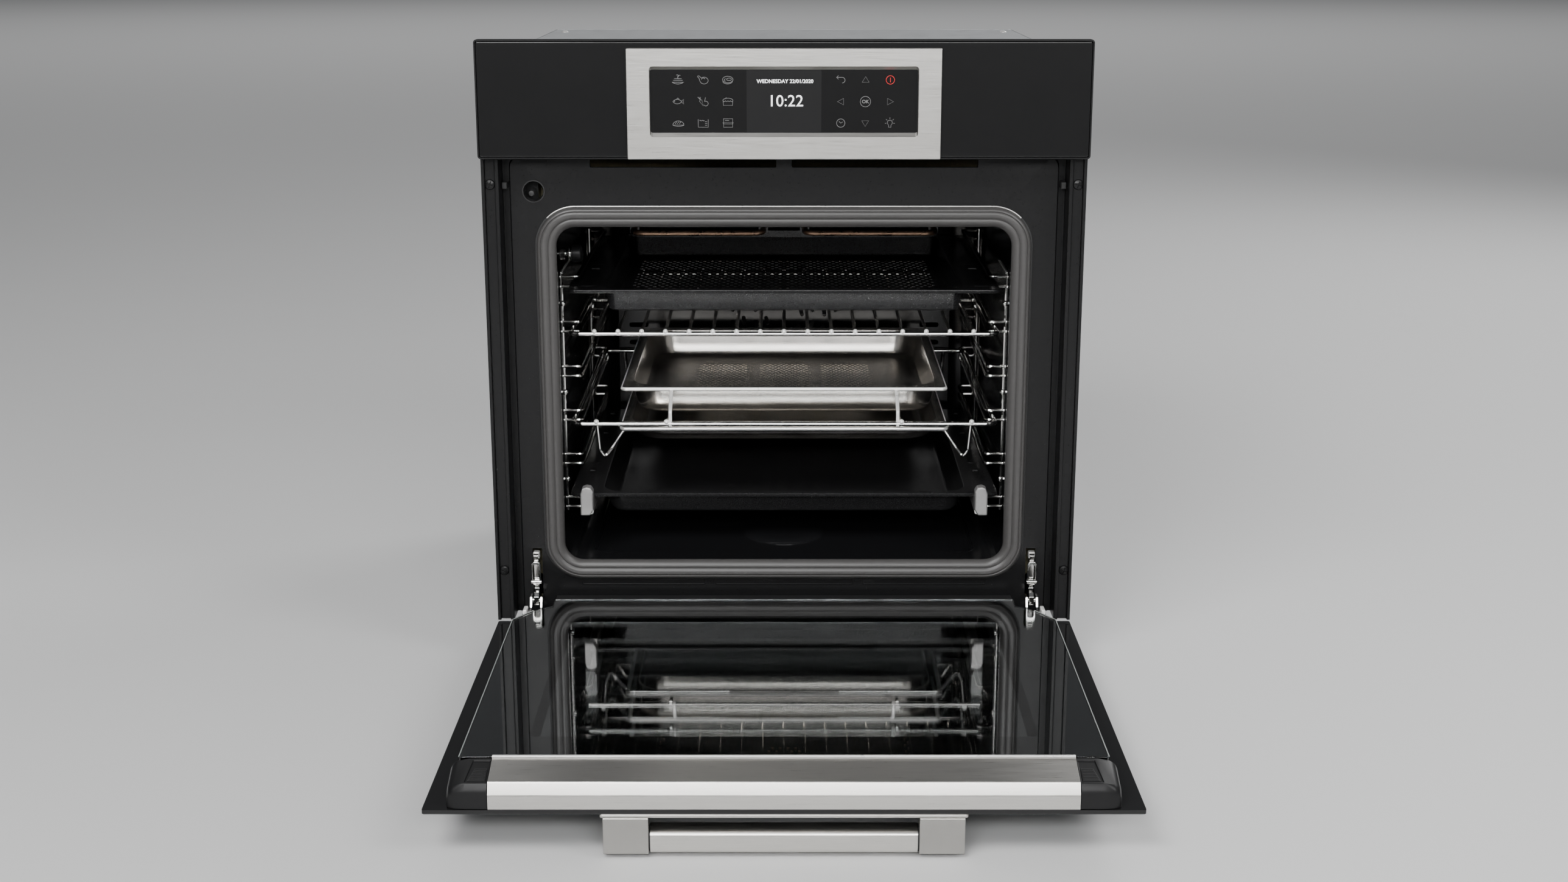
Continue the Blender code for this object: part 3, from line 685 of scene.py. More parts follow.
def icon_steam():
    plate = [arc(0, -1.4, 5.4, 200, 340, 0.45), [(-5.6, -2.2), (5.6, -2.2)]]
    slices = [[(-4.6, -0.4), (4.6, -0.4)], [(-3.6, 1.2), (3.6, 1.2)]]
    return plate + slices + [arc(1.6, 2.6, 1.8, 60, 250), arc(-0.6, 3.6, 1.3, -60, 130)]


def icon_chicken():
    leg = [(-1.4, 1.8), (-3.2, 3.6), (-4.6, 3.9), (-5.2, 3.0), (-4.2, 2.4), (-3.4, 1.0)]
    leg += [(-2.5, -1.8)]
    return [arc(1.2, -0.6, 3.9, -160, 130, 0.82, 24), leg, arc(0.4, 0.2, 1.7, 20, 170)]


def icon_steak():
    slab = [arc(0, 0.4, 5.0, 0, 360, 0.62, 26), arc(-0.2, -0.8, 4.8, 190, 350, 0.62)]
    return slab + [arc(1.2, 0.6, 2.4, 0, 360, 0.5), arc(-2, 0, 1.2, 90, 260)]


def icon_fish():
    sides = [arc(-0.8, -2.6, 5.0, 35, 145, 0.95), arc(-0.8, 2.6, 5.0, -145, -35, 0.95)]
    tail = [(3.2, 0.3), (5.4, 2.4), (4.8, 0), (5.4, -2.4), (3.2, -0.3)]
    fin = [(-1.4, 2.3), (-0.2, 3.6), (1.0, 2.2)]
    return sides + [tail, fin, ring_path(-3.4, 0.4, 0.3, 8)]


def icon_carrot():
    carrot = [(-2.8, 1.6), (-1.2, 1.8), (0.2, -4.2), (-3.4, 0.4), (-2.8, 1.6)]
    leaves = [[(-2.6, 1.8), (end, 4.4)] for end in (-5.2, -4.0, -2.6)]
    return [carrot] + leaves + [arc(2.6, -1.8, 2.3, -150, 120), [(1.4, 0.2), (2.4, 4)]]


def icon_cake():
    body = [(-4.6, 1), (-4.4, -3.6), (4.4, -3.6), (4.6, 1)]
    cream = [(-4.9, 1.0)]
    for i in range(4):
        cream += arc(-3.6 + 2.4 * i, 1.0, 1.2, 180, 360, 0.7, 6)
    return [body, cream, arc(0, 0.8, 5.0, 10, 170, 0.5), [(-2, 3.2), (-1.6, 4)]]


def icon_bread():
    loaf = arc(0, -1.8, 5.3, 0, 180, 0.72) + [(5.3, -1.8)]
    cuts = [[(u, -0.6), (u + 1.4, 1.2)] for u in (-3, -1, 1)]
    return [loaf, arc(0, -1.8, 5.3, 180, 360, 0.22)] + cuts


def icon_levels():
    box = [(-4.8, 3.6), (-4.8, -4), (4.8, -4), (4.8, 3.6)]
    ticks = [[(1.8, v), (3.8, v)] for v in (-2.2, -0.4, 1.4)]
    return [box, [(-3.6 + 0.6 * i, 2.4 + 0.35 * math.sin(i * 1.6)) for i in range(9)]] + ticks


def icon_oven():
    box = [(-4.4, 4.2), (4.4, 4.2), (4.4, -4), (-4.4, -4), (-4.4, 4.2)]
    tray = [(-5, 0.6), (5, 0.6), (4.4, -0.8), (-4.4, -0.8), (-5, 0.6)]
    return [box, tray, [(-3, 2.6), (1, 2.6)]]


def icon_back():
    head = [(-2.4, 4.2), (-4.4, 2.4), (-2.4, 0.6)]
    return [head, [(-4.2, 2.4), (1.2, 2.4)], arc(1.2, -0.2, 2.6, 90, -90)]


def icon_clock():
    return [ring_path(0, 0, 4.0), [(-1.6, 1.6), (0, 0), (2, 1.2)]]


def icon_bulb():
    foot = [(-1.2, -1.8), (-1.2, -4), (1.2, -4), (1.2, -1.8)]
    rays = []
    for turn in (-10, 40, 90, 140, 190):
        c, s = math.cos(math.radians(turn)), math.sin(math.radians(turn))
        rays.append([(3.4 * c, 0.6 + 3.4 * s), (4.8 * c, 0.6 + 4.8 * s)])
    return [arc(0, 0.4, 2.4, -55, 235, 1.0, 20), foot] + rays


def triangle(turn):
    turns = [math.radians(turn + 120 * k) for k in (0, 1, 2, 0)]
    return [[(3.9 * math.cos(t), 3.6 * math.sin(t)) for t in turns]]


def drawn_at(x, z, paths):
    return [[(x + u, z + v) for u, v in path] for path in paths]


def text(words, size, x, z, thick):
    """Flat letters centred on a point of the control glass."""
    curve = bpy.data.curves.new("words", "FONT")
    curve.body = words
    curve.size = size
    curve.align_x = curve.align_y = "CENTER"
    curve.offset = thick
    curve.extrude = 0.04
    curve.resolution_u = 3
    mesh = settled(bpy.data.objects.new("words", curve))
    mesh.transform(shift(x, FACE - 0.06, z) @ spin(90, "X"))
    return mesh


def build_control_panel():
    rim = [(0, 13.4), (0, 0.7), (-0.5, 0.1), (-1.3, 0.1), (-1.7, 0.6), (-1.7, 13.4)]
    trim = hoop((-HALF_WIDTH, HALF_WIDTH, PANEL_FOOT, TOP), 3, at_depth(rim))
    piece("panel_rim", trim, "plastic", ["panel_carrier"])
    edge = [(0, 12), (0, 1.0), (-0.5, 0.25), (-1.2, 0)]
    glass = hoop((-295.6, 295.6, 483.0, 593.1), 2, at_depth(edge), closed=False)
    piece("panel_glass", glass, "black_glass", ["control_glass"])
    outer, hole = (-151.5, 151.5, 481.2, 587), (-129.6, 129.6, 502.8, 570)
    surround = ringed([
        (outer, 1.2, 0, -0.1), (outer, 1.2, 0, -2.6), (outer, 1.6, -0.4, -3.0),
        (hole, 3, 0, -3.0), (hole, 3.3, -0.3, -2.7), ((-128.8, 128.8, 506.6, 566.8), 2, 0, -0.1),
    ], 6)
    piece("steel_surround", surround, "brushed", ["panel_steel_frame"], angle=25)
    screen = slab(rounded(-36, 36, 507.2, 566.2, 0.8), "Y", -0.03, 0.5)
    piece("screen", screen, "screen")
    rows, (near, middle, far) = (557, 536.4, 515.9), (54.8, 78.4, 102.2)
    icons = (
        (icon_steam, icon_chicken, icon_steak),
        (icon_fish, icon_carrot, icon_cake),
        (icon_bread, icon_levels, icon_oven),
    )
    grey = []
    for z, drawn in zip(rows, icons):
        for x, icon in zip((-102, -78, -54), drawn):
            grey += drawn_at(x, z, icon())
    for x, z, paths in (
        (near, rows[0], icon_back()), (middle, rows[0] - 0.4, triangle(90)),
        (near + 0.6, rows[1], triangle(180)), (far - 0.6, rows[1], triangle(0)),
        (middle, rows[2] + 0.4, triangle(270)), (middle, rows[1], [ring_path(0, 0, 5.0)]),
        (near, rows[2], icon_clock()), (far, rows[2], icon_bulb()),
    ):
        grey += drawn_at(x, z, paths)
    lines = strokes(grey) + [text("OK", 4.6, middle, rows[1] - 0.1, 0.05)]
    piece("touch_icons", lines, "ink")
    red = drawn_at(far, rows[0], [ring_path(0, 0, 4.0), [(0, -2.2), (0, 2.2)]])
    piece("power_icon", strokes(red, 0.24), "red")
    date = text("WEDNESDAY 22/01/2020", 5.0, 1.0, 555.6, 0.06)
    clock = text("10:22", 15.6, 1.6, 536.6, 0.02)
    piece("clock_text", [date, clock], "white")


# Cavity ----------------------------------------------------------------------------


def build_cavity():
    mouth, rear = behind(39.2), behind(509)
    walls = [(1.2, mouth), (0.6, mouth - 0.6), (0, mouth), (0, rear - 14), (-4, rear - 4)]
    walls += [(-14, rear)]
    inner = hoop((-240, 240, 56, 416), 26, walls, steps=10, closed=False)
    bm = bmesh.new()
    bm.from_mesh(inner)
    front = [f for f in bm.faces if len(f.verts) > 4 and f.calc_center_median().y < 0]
    bmesh.ops.delete(bm, geom=front, context="FACES")
    liner = tidy(bm)
    for polygon in liner.polygons:
        polygon.flip()
    item = piece("cavity_walls", liner, "cavity", ["cavity_liner"])
    thick = item.modifiers.new("sheet", "SOLIDIFY")
    thick.thickness = 1.2 * MM
    thick.offset = -1.0
    section = [(0, 56.1), (-2.5, 57.2), (-6.5, 57.2), (-9, 56.1)]
    pressings = [hoop((-205, 205, behind(70), behind(440)), 18, section, "Z")]
    dot = [(1.8, 56.1), (1.4, 57.1), (0.4, 57.5)]
    for x in (-74, -68, -3, 3, 68, 74):
        pressings.append(turned(dot, (x, behind(84), 0), "Z", 12))
    for side in (-1, 1):
        for y0, y1 in ((70, 125), (200, 340), (385, 450)):
            foot = rounded(behind(y0), behind(y1), 75, 395, 14)
            crest = rounded(behind(y0 + 3), behind(y1 - 3), 78, 392, 11)
            pressings.append(tapered(foot, side * 239.9, crest, side * 238.9, "X"))
    piece("cavity_embossing", pressings, "cavity")


def build_cavity_fittings():
    dome = [(46, 0.4), (46, 1.6), (43, 4.2), (36, 6.0), (15, 6.6)]
    seat = (0, behind(145), 56)
    piece("drain_dome", turned(dome, seat, "Z", 40), "cavity", ["drain_cover"])
    cover = slab(rounded(-205, 205, 80, 395, 14), "Y", 482, 483)
    cuts = []
    for radius, count in ((22, 6), (36, 10), (50, 14), (64, 18)):
        for k in range(count):
            turn = 360 * (k + (radius % 4) / 8) / count
            slot = slab(rounded(-6.2, 6.2, -2.4, 2.4, 2.3, 3), "Y", 470, 495)
            steps = (shift(0, 0, FAN_HEIGHT), spin(turn, "Y"), shift(0, 0, radius))
            cuts.append(moved(slot, *steps))
    for side in (-1, 1):
        for k in range(12):
            z = FAN_HEIGHT + 22 * (k - 5.5)
            slot = rounded(*span(side, 168, 192), z - 3, z + 3, 2.9, 3)
            cuts.append(slab(slot, "Y", 470, 495))
    piece("fan_screen", cut(cover, cuts), "cavity", ["fan_cover"])
    # painted shade: the fan wheel is painted dark steel so it reads as shaded behind the fan screen
    repaint("tin", "convection_wheel")
    probe = [(2.0, 0), (2.0, 5), (6.2, 5), (6.6, 5.4), (6.6, 10.6), (6.2, 11), (2.6, 11)]
    probe += [(2.6, 14), (7.0, 14), (7.4, 15), (7.4, 16.4), (7.0, 17)]
    seat = (-239.6, behind(125), 368.7)
    piece("probe_plug", turned(probe, seat, "X", 28), "chrome", ["probe_socket"])
    cap = [(7.0, 17.1), (9.0, 18), (9.2, 19), (9.2, 25.5), (8.4, 27.2), (6.4, 28)]
    piece("probe_cap", turned(cap, seat, "X", 28), "plastic")
    lens = [(12, -10), (20, -9.4), (26, -7), (30, -3.6), (32, -0.4)]
    seat = (0, behind(452), 415.6)
    piece("lamp_lens", turned(lens, seat, "Z", 36), "lamp", ["cavity_lamp"])


def build_grill():
    z, near, far = 389.0, behind(132), behind(440)
    route = [
        (-159, behind(481), z), (-159, near, z), (-22, near, z), (-22, far, z), (22, far, z),
        (22, near, z), (159, near, z), (159, behind(481), z),
    ]
    coil = wire(bent(route, 16, 8), 3.2, False, 4)
    piece("grill_coil", coil, "copper", ["grill_element"])
    bars = []
    for y in (behind(170), behind(330)):
        bars.append(block((-168, y - 1, 393), (168, y + 1, 397)))
        bars += [block((x - 5, y - 1, 384), (x + 5, y + 1, 394)) for x in (-159, -22, 22, 159)]
    piece("grill_brackets", bars, "cavity")


def build_side_racks():
    front, rear = behind(145), behind(470)
    for side, word in SIDES:
        liner, wall, inner = side * 239.6, side * 236.4, side * 217.7
        foot, head = (wall, front, 83), (wall, front, 345)
        wires = [wire(bent([foot, head, (side * 229, front + 10, 356)], 4), 2.1)]
        for y in (rear, rear - 14):
            wires.append(wire([(wall, y, 83), (wall, y, 345)], 2.1))
        y = front - 0.4
        for low in LEVELS:
            for z in (low, low + PAIR_RISE):
                route = [(wall, y, z), (inner, y, z), (inner, rear, z), (wall, rear, z)]
                wires.append(wire(bent(route, 5, 6), 1.9))
                wires.append(ball((side * 237.4, y, z), 2.3))
        for z in (118, 215, 312):
            wires.append(wire([(liner, front, z), (wall, front, z)], 2.6))
            wires.append(ball((wall - side * 1.0, front, z), 3.6))
            wires.append(wire([(liner, rear, z), (wall, rear, z)], 2.6))
        piece(word + "_guide_wires", wires, "chrome", [word + "_side_rack"])


def build_runners():
    low = LEVELS[0] + PAIR_RISE + 2.4
    for side, word in SIDES:
        y0, y1 = behind(151), behind(464)
        line = [(209.4, low + 12.6), (215.0, low + 12.6), (215.0, low - 12.4), (209.4, low - 12.4)]
        shape = [(side * x, z) for x, z in folded(line, 1.2, 1.1)]
        rail = prism(shape, "Y", y0, y1)
        piece(word + "_rail", rail, "satin", [word + "_runner_rail"])
        line = [(208.6, low + 1), (202.0, low + 1), (202.0, low + 16), (208.6, low + 16)]
        shape = [(side * x, z) for x, z in folded(line, 1.2, 1.1)]
        slide = prism(shape, "Y", behind(72), y1 - 10)
        line = [(200.2, low + 7), (204.0, low + 0.4), (213.8, low + 0.4), (213.8, low + 24)]
        line += [(211.6, low + 30.4), (207.4, low + 32), (202.6, low + 31), (200.2, low + 27)]
        outline = softened([(side * x, z) for x, z in line], 1.6, 4)
        x, z = side * 207, low + 16
        loops = []
        for share, depth in ((0.82, 62.6), (0.95, 63.4), (1.0, 65), (1.0, 73)):
            loops.append([(x + (u - x) * share, behind(depth), z + (v - z) * share)
                          for u, v in outline])
        piece(word + "_slide", slide, "satin", [word + "_runner_slide"], "runner_tray")
        piece(word + "_slide_cap", loft(loops), "silver", body="runner_tray", bevel=0.4)


# Trays, pans and grids -------------------------------------------------------------


def tray_loops(box, stations):
    """Loops of a pressed sheet from (side, front, back insets, z, corner radius)."""
    x0, x1, y0, y1 = box
    loops = []
    for side, near, far, z, radius in stations:
        shape = rounded(x0 + side, x1 - side, y0 + near, y1 - far, radius, 8)
        loops.append([(u, v, z) for u, v in shape])
    return loops


def pressed(box, stations, floor=True):
    """A pressed tray or pan: its upper face follows the stations, from rim to floor."""
    upper, lower, sheet = tray_loops(box, stations), [], 1.0
    for index, (side, near, far, z, radius) in enumerate(stations):
        previous = stations[max(index - 1, 0)]
        following = stations[min(index + 1, len(stations) - 1)]
        slope = abs(following[3] - previous[3]) > 2 * abs(following[0] - previous[0])
        out = sheet if slope else 0.3
        lower.append((side - out, near - out, far - out, z - sheet, radius + out))
    lower[0] = (*stations[0][:3], stations[0][3] - sheet, stations[0][4])
    loops = list(reversed(upper)) + tray_loops(box, lower)
    return loft(loops, closed=not floor)


def rolled_rim(box, radius, z, tube):
    edge = grown(box, radius + tube, -tube, 6)
    return wire([(u, v, z) for u, v in edge], tube, True, 3)


def flange_ridges(near, far, stretches, rim, rise, reach):
    """Ridges pressed into both side flanges of a tray, from stretches of depth."""
    profile = [(0, rim - 0.2), (-0.8, rim + rise), (-reach, rim + rise), (-reach, rim - 0.2)]
    ridges = []
    for side in (-1, 1):
        u0, u1 = span(side, near, far)
        for d0, d1 in stretches:
            ridges.append(hoop((u0, u1, behind(d0), behind(d1)), 6, profile, "Z", 5, False))
    return ridges


def floor_border(outer, radius, inner, z):
    """The flat part of a floor between its round-cornered outline and a rectangle."""
    outlines = (rounded(*outer, radius, 8), rounded(*inner, 0.02, 8))
    return loft([[(u, v, z) for u, v in outline] for outline in outlines], caps=False)


def tray_rim(rim):
    return [(0, 0, 0, rim - 2.6, 7), (0.4, 0.4, 0.4, rim - 0.6, 7), (1.2, 1.2, 1.2, rim, 6)]


def build_deep_tray():
    box, rim = (-226.2, 226.2, behind(86), behind(461)), 118.6
    stations = tray_rim(rim) + [
        (31.5, 10, 12, rim, 22), (33.5, 12, 14, rim - 0.9, 21), (34.6, 13, 15, rim - 3, 20),
        (42, 20, 22, 97, 16), (44, 22, 24, 94, 14), (48, 26, 28, 92.9, 12),
    ]
    piece("enamel_tray", pressed(box, stations), "tray", ["deep_tray"], "runner_tray")
    ridges = flange_ridges(203, 219, ((110, 180), (205, 345), (370, 440)), rim, 0.7, 4)
    piece("tray_ridges", ridges, "tray", body="runner_tray")


def build_perforated_tray():
    box, rim = (-226.2, 226.2, behind(104), behind(479)), LEVELS[5] + 3.6
    floor = rim - 23.6
    stations = tray_rim(rim) + [
        (37.5, 6.5, 8.5, rim, 12), (39.4, 8.2, 10, rim - 0.8, 11), (40.4, 9, 11, rim - 3, 10),
        (43, 12, 14, floor + 3, 8), (44.4, 13.4, 15.4, floor + 0.7, 7), (47, 16, 18, floor, 6),
    ]
    sheet = pressed(box, stations, floor=False)
    field = (-172, 172, behind(132), behind(448))
    border = floor_border((-180, 180, behind(120), behind(461)), 6, field, floor)
    sheet = [sheet, border, perforated(*field, 9.0, 2.0, floor)]
    piece("baking_sheet", sheet, "tray", ["perforated_tray"], "upper_tray")
    ridges = flange_ridges(198, 218, ((125, 240), (262, 458)), rim, 0.6, 5)
    rear = slab(rounded(-186, 186, rim - 1, rim + 7, 3), "Y", 468.5, 470)
    piece("sheet_ridges", ridges + [rear], "tray", body="upper_tray")


def pan_box(front):
    return (-175.5, 175.5, behind(front), behind(front + 325))


def pan(front, rim, floor, perforate):
    stations = [
        (1.2, 1.2, 1.2, rim - 3.2, 5), (1.0, 1.0, 1.0, rim - 1.4, 5), (1.6, 1.6, 1.6, rim - 0.3, 5),
        (2.6, 2.6, 2.6, rim, 4.5), (10, 10, 10, rim, 37), (11.4, 11.4, 11.4, rim - 0.7, 35),
        (12.2, 12.2, 12.2, rim - 2.6, 34), (14.4, 14.0, 14.4, (rim + floor) / 2, 33),
        (16.4, 15.8, 16.4, floor + 5, 32), (18.6, 18.0, 18.6, floor + 1.6, 30),
        (23, 22.5, 23, floor, 26),
    ]
    sheet = pressed(pan_box(front), stations, floor=not perforate)
    if not perforate:
        return sheet
    y0, y1 = behind(front + 60), behind(front + 262)
    holes = [perforated(*ends, y0, y1, 6.6, 1.7, floor) for ends in (
        (-102, -42), (-30, 30), (42, 102))]
    fills = [patch(*ends, y0, y1, floor) for ends in ((-42, -30), (30, 42))]
    outline = (-152.5, 152.5, behind(front + 23), behind(front + 302))
    border = floor_border(outline, 26, (-102, 102, y0, y1), floor)
    return joined([sheet, border] + holes + fills)


def build_pans():
    upper, lower = (135, 222), (114, 183.6)  # depth of the front edge and height of the rim
    beads = [rolled_rim(pan_box(front), 4.2, rim - 2.1, 2.0) for front, rim in (upper, lower)]
    piece("upper_pan", pan(*upper, 191.4, True), "pan", ["perforated_pan"], "pan_carrier")
    piece("lower_pan", pan(*lower, 166.2, False), "pan", ["solid_pan"], "pan_carrier")
    # painted highlight: the rolled rims take the near-white finish
    piece("pan_beads", beads, "bead_highlight", body="pan_carrier")


def grid_loop(z):
    """The outer wire of a grid, and the y of its front and back."""
    half, y0, y1 = 224.2, behind(106.8), behind(476.2)
    corners = [(-half, y0, z), (half, y0, z), (half, y1, z), (-half, y1, z)]
    return wire(bent(corners, 10, 6, closed=True), 2.7, True, 4), y0, y1


def build_wire_rack():
    z = LEVELS[4] + 5.1
    loop, y0, y1 = grid_loop(z)
    wires, ends = [loop], []
    for i in range(17):
        x = 24.85 * (i - 8)
        wires.append(wire([(x, y0 - 1.4, z + 2.9), (x, y1 + 1.4, z + 2.9)], 1.9))
        ends.append(ball((x, y0 - 1.6, z + 2.9), 2.5))
        ends.append(ball((x, y1 + 1.6, z + 2.9), 2.5))
    wires.append(wire([(-224, behind(300), z), (224, behind(300), z)], 2.2))
    stop = [(-215, y1, z + 1), (-205, y1, z + 16), (205, y1, z + 16), (215, y1, z + 1)]
    wires.append(wire(stop, 2.2))
    piece("grid_wires", wires, "chrome", ["wire_rack"], "grid")
    # painted highlight: the wire ends take the near-white finish
    piece("grid_ends", ends, "bead_highlight", body="grid")


def build_pan_carrier():
    z = LEVELS[2] + 5.1
    loop, y0, y1 = grid_loop(z)
    wires, ends = [loop], []
    for x in (-199, -124.7, 124.7, 199):
        if abs(x) < 150:
            wires.append(wire([(x, y0 - 1, z - 1.9), (x, y1 + 1, z - 1.9)], 1.9))
        ends.append(ball((x, y0 - 1.2, z + 2.4), 2.7))
        wires.append(wire([(x, y0, z + 1), (x, y0, z + 2.6)], 2.2))
    for y, inward in ((y0, 12), (y1, -30)):
        for side in (-1, 1):
            route = [(side * 198.5, y, z), (side * 196, y, 161), (side * 191, y + inward / 3, 152)]
            route += [(side * 184, y + inward / 2, 161), (side * 171, y + inward, 179.6)]
            route += [(side * 60, y + inward, 179.6)]
            wires.append(wire(bent(route, 3.6, 5), 1.9))
        wires.append(wire([(-61, y + inward, 179.6), (61, y + inward, 179.6)], 1.9))
    for side in (-1, 1):
        x = side * 120.6
        route = [(x, y0 - 0.4, z - 1), (x, y0 - 0.2, 203), (x, y0 + 29, 217.6)]
        ends.append(wire(bent(route, 5, 5), 1.9))
        ends.append(ball((x, y0 - 0.4, z - 1), 2.5))
    piece("carrier_wires", wires, "chrome", ["pan_rack"], "pan_carrier")
    # painted highlight: the wire ends and hooks take the near-white finish
    piece("carrier_ends", ends, "bead_highlight", body="pan_carrier")


# Hinges and door -------------------------------------------------------------------


def build_hinge_roots():
    view = [
        (21, 16), (30, 16), (35, 24), (50, 25), (50, 36), (37, 36), (37, 56), (52, 56), (52, 64),
        (33, 64), (30, 70), (27, 68), (28.6, 58), (29.4, 32), (24, 29), (20.5, 25),
    ]
    outline = softened([(behind(d), z) for d, z in view], 1.2, 3)
    for side, word in SIDES:
        x = side * HINGE_X
        parts = [prism(outline, "X", x - 2.6, x + 2.6)]
        for depth, z, radius, half in ((25.5, 20.5, 2.5, 6.5), (26.5, 40, 2.4, 5.4)):
            pin = circle(behind(depth), z, radius, 20)
            parts.append(prism(pin, "X", x - half, x + half))
        piece(word + "_claw", parts, "chrome", [word + "_hinge_claw"], bevel=0.5)
        outer, inner = (x - 4.7, x + 4.7, 36.5, 62), (x - 3.2, x + 3.2, 41, 58.6)
        rows = [(outer, 3.6, 0, 28), (outer, 3.6, 0, 25), (inner, 2.6, 0, 25), (inner, 2.6, 0, 28)]
        bail = ringed(rows, 5)
        piece(word + "_bail", bail, "chrome", [word + "_hinge_latch"], word + "_latch", bevel=0.5)
        hook = slab(rounded(x - 3.4, x + 3.4, 63.5, 71, 1.4, 4), "Y", 31, 37.6)
        piece(word + "_hook", hook, "zinc", bevel=0.6)


def build_door_glass():
    edge = at_depth([(0, 4), (0, 0.6), (-0.5, 0.1), (-1.2, 0)])
    pane = hoop((-HALF_WIDTH, HALF_WIDTH, DOOR_FOOT, DOOR_TOP), 2, edge, closed=False)
    piece("outer_pane", pane, "black_glass", ["door_outer_glass"], "door")
    middle = rounded(-246, 246, 72, 436, 3)
    pane = slab(middle, "Y", 14, 17)
    piece("middle_pane", pane, "clear", ["door_middle_glass"], "door", bevel=0.4)
    half = [(271, 441), (271, 107), (253.5, 80.5), (246, 73), (236, 66.5), (236, 45)]
    pane = slab(softened(mirrored(half), 2.4, 4), "Y", 31.2, 35)
    piece("inner_pane", pane, "clear", ["door_inner_glass"], "door", bevel=0.5)
    edges = []
    for side in (-1, 1):
        corners = ((271.3, 440.6), (271.3, 107), (253.7, 80.3))
        line = [(side * x, behind(35.1), z) for x, z in corners]
        edges.append(wire(line, 0.45, False, 1))
    piece("pane_edge", edges, "ground", body="door")
    half = [(269.6, 440.4), (269.6, 107.5), (252.4, 81.6), (245, 74.2), (234.6, 67.6), (234.6, 46)]
    border = slab(softened(mirrored(half), 2.4, 4), "Y", 30.7, 31.1)
    window = slab(rounded(-218, 218, 81, 396, 5), "Y", 25, 36)
    piece("inner_print", cut(border, [window]), "frit", body="door")
    border = slab(middle, "Y", 13.4, 13.8)
    window = slab(rounded(-205, 205, 92, 402, 5), "Y", 10, 20)
    piece("middle_print", cut(border, [window]), "frit", body="door")


def build_door_frame():
    fold = [(258, 5.0), (269.6, 5.0), (269.6, 30.3), (262, 30.3)]
    view = [(6, 30), (6, 104), (30.5, 104), (30.5, 84), (22, 66), (19, 30)]
    for side, word in SIDES:
        parts = []
        for line, low, high in ((fold, 104, 438), ([*fold[:2], (269.6, 19.5)], 46, 104)):
            shape = at_depth([(side * x, d) for x, d in folded(line, 1.0, 1.0)])
            parts.append(prism(shape, "Z", low, high))
        piece(word + "_door_rail", parts, "plastic", [word + "_door_profile"], "door")
        bracket = slab(view, "X", *span(side, 266.8, 268.6))
        piece(word + "_corner_plate", bracket, "tin", body="door", bevel=0.5)
    view = softened([(4.6, 12), (24, 12), (30.5, 20), (30.5, 40), (4.6, 40)], 2.5, 4)
    rail = slab(view, "X", -236, 236)
    piece("bottom_rail", rail, "plastic", ["door_bottom_profile"], "door")


def sloped(side, outline, low, high):
    """A plate that lies along the slope of the door's end cap, in the shut door."""
    loops = []
    for rise in (low, high):
        loops.append([
            (side * x, behind(34.2 - 0.2675 * (z - 442) + rise), z) for x, z in outline
        ])
    return loft(loops)


def build_door_trim():
    profile = [
        (4.5, 441.4), (36.0, 441.4), (36.5, 441.9), (36.5, 443.6), (36.0, 444.2), (34.9, 444.4),
        (27.4, 472.4), (26.9, 473.1), (26.0, 473.7), (17.4, 477.2), (16.4, 477.6), (14.8, 477.9),
        (4.5, 477.9),
    ]
    trim = slab(profile, "X", -243, 243)
    piece("top_trim", trim, "brushed", ["door_top_trim"], "door", angle=28)
    # painted highlight: the lip along the trim's edge takes the near-white finish
    lip = slab(rounded(35.4, 36.9, 440.9, 443.9, 0.6, 3), "X", -243, 243)
    piece("trim_lip", lip, "bead_highlight", body="door")
    for side, word in SIDES:
        loops = []
        for x, low, drop in (
            (243.5, 0.7, 0), (262, 0.9, 0.2), (271, 2.4, 1), (275.5, 5, 2.6), (277.6, 9, 5)
        ):
            section = [
                (4.6, 442 + drop * 0.4), (35.0 - low, 442 + drop * 0.4), (26.6 - low, 473.4 - drop),
                (22.0 - low, 476.6 - drop), (17.0 - low * 0.5, 477.6 - drop), (4.6, 477.6 - drop),
            ]
            loops.append([(side * x, behind(d), z) for d, z in section])
        edge = [(244.4, 444.6), (258.5, 444.6), (262.5, 471.6), (244.4, 471.6)]
        cap = cut(loft(loops), [sloped(side, edge, -0.9, 6)])
        piece(word + "_cap", cap, "plastic", [word + "_end_cap"], "door", bevel=0.6)
        bed = [(245.6, 455), (256, 455), (260.4, 470.6), (245.6, 470.6)]
        grip = [sloped(side, bed, -1.2, -0.1)]
        for i in range(8):
            z = 456 + 1.9 * i
            far = 255 + 0.27 * (z - 455)
            rib = [(246.2, z), (far, z), (far + 0.2, z + 0.8), (246.2, z + 0.8)]
            grip.append(sloped(side, rib, -0.3, 0.5))
        piece(word + "_cap_ribs", grip, "grip", body="door")


def handle_section(back, front, low, high, radius, steps):
    return softened([(back, low), (front, low), (front, high), (back, high)], radius, steps)


def build_handle():
    plate = slab(rounded(-151.5, 151.5, 454, 477.8, 2), "Y", -3, -0.1)
    piece("handle_base", plate, "brushed", ["handle_plate"], "door", bevel=0.5)
    bar = slab(handle_section(-15.6, -36, 455, 477.6, 6.5, 6), "X", -110.2, 110.2)
    piece("handle_grip", bar, "brushed", ["handle_bar"], "door")
    post, ring = (
        handle_section(-3.1, -36.2, 454.8, 477.8, 2.2, 4),
        handle_section(-16.4, -35.2, 455.8, 476.8, 6, 5),
    )
    posts = [slab(post, "X", *span(side, 111.6, 149.2)) for side in (-1, 1)]
    rings = [slab(ring, "X", *span(side, 109.8, 111.9)) for side in (-1, 1)]
    # The posts take the darker copy of the brushed steel, which is painted shade.
    piece("handle_posts", posts, "brushed_up_shaded", body="door", bevel=0.5)
    piece("handle_rings", rings, "rubber", body="door")


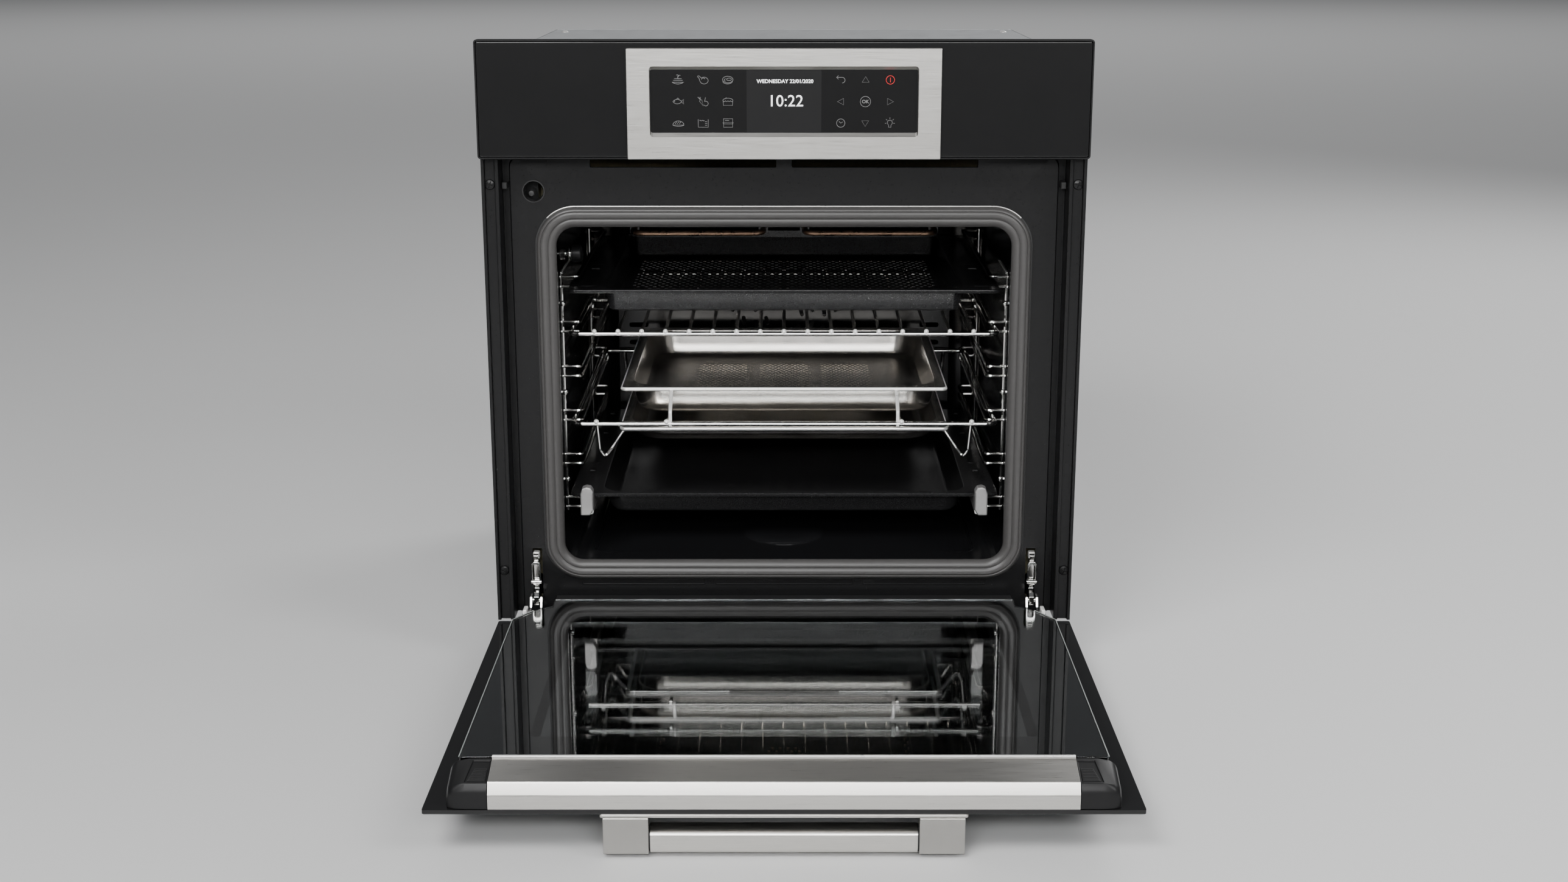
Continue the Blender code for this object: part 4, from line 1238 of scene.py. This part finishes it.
def build_door_hinges():
    view = [(16.5, 50), (7, 50), (7, 30), (18, 14), (31, 15), (31, 26), (20, 30)]
    view = softened(view, 1.6, 3)
    turns, steps = 16, 12  # of the spring's coil
    for side, word in SIDES:
        x = side * HINGE_X
        line = [(x - 6.8, 18), (x - 6.8, 6.4), (x + 6.8, 6.4), (x + 6.8, 18)]
        parts = [prism(at_depth(folded(line, 1.6, 1.2)), "Z", 28, 230)]
        for ends in ((x - 6.2, x - 4.4), (x + 4.4, x + 6.2)):
            parts.append(slab(view, "X", *ends))
        piece(word + "_hinge_body", parts, "chrome", [word + "_door_hinge"], "door")
        coil = []
        for i in range(turns * steps):
            u, v = 4.1 * math.cos(2 * math.pi * i / steps), 4.1 * math.sin(2 * math.pi * i / steps)
            coil.append((x + u, behind(12.9) + v, 121 + 83 * i / (turns * steps)))
        spring = wire(coil, 0.7, False, 1)
        piece(word + "_coil", spring, "satin", [word + "_hinge_spring"], "door")
        u0, u1 = sorted((x + side * 5.3, x + side * 9.4))
        pad = block((u0, behind(18.6), 50), (u1, behind(29.5), 64))
        # painted highlight: the pad takes the near-white finish to read as the bright patch below
        # the hinge
        piece(word + "_hinge_pad", pad, "bead_highlight", body="door", bevel=1.0)


# Stage, light and camera -----------------------------------------------------------


def build_stage():
    stage = bpy.data.materials.new("pale_floor")
    stage.use_nodes = True
    shader = stage.node_tree.nodes["Principled BSDF"]
    fill(shader, {"Base Color": (0.62, 0.62, 0.62, 1), "Roughness": 0.6})
    floor = bpy.data.objects.new("floor", block((-90000, -90000, -47), (90000, 90000, -45)))
    plinth = bpy.data.objects.new(
        "plinth", block((-276, behind(60), -45), (276, BACK - 10, -0.4))
    )
    for item in (floor, plinth):
        item.data.transform(Matrix.Scale(MM, 4))
        item.data.materials.append(stage)
        bpy.context.scene.collection.objects.link(item)


def light(name, at, towards, size, power):
    data = bpy.data.lights.new(name, "AREA")
    data.shape = "RECTANGLE"
    data.size, data.size_y = size
    data.energy = power
    item = bpy.data.objects.new(name, data)
    item.location = at
    item.rotation_euler = (Vector(towards) - Vector(at)).to_track_quat("-Z", "Y").to_euler()
    bpy.context.scene.collection.objects.link(item)


def build_light():
    world = bpy.data.worlds.new("studio")
    world.use_nodes = True
    background = world.node_tree.nodes["Background"]
    fill(background, {"Color": (0.8, 0.82, 0.85, 1), "Strength": 0.12})
    bpy.context.scene.world = world
    light("key", (-1.1, -2.3, 2.4), (0, -0.1, 0.25), (1.5, 1.0), 74)
    light("fill", (1.9, -1.7, 1.9), (0, -0.1, 0.25), (1.0, 1.0), 32)
    light("front", (0.0, -2.9, 1.25), (0, 0, 0.25), (2.2, 0.5), 54)
    light("far", (0, 12, 9), (0, 12, 0), (16, 8), 760)
    light("near", (0, -14, 9), (0, -14, 0), (16, 8), 500)
    light("rear", (2.3, 2.2, 2.2), (0, 0, 0.3), (1.4, 1.4), 60)


def build_camera():
    data = bpy.data.cameras.new("camera")
    data.lens = 45
    data.sensor_width = 36
    item = bpy.data.objects.new("camera", data)
    item.location = (0, (FACE - 1909) * MM, 0.7003)
    item.rotation_euler = (math.radians(90 - 14.73), 0, 0)
    bpy.context.scene.collection.objects.link(item)
    bpy.context.scene.camera = item


for build in (
    build_carcass, build_rear_sheet, build_carcass_screws, build_services, build_front_frame,
    build_frame_fittings, build_gasket, build_control_panel, build_cavity,
    build_cavity_fittings, build_grill, build_side_racks, build_runners, build_deep_tray,
    build_perforated_tray, build_pans, build_wire_rack, build_pan_carrier, build_hinge_roots,
    build_door_glass, build_door_frame, build_door_trim, build_handle, build_door_hinges,
    build_stage, build_light, build_camera,
):
    build()
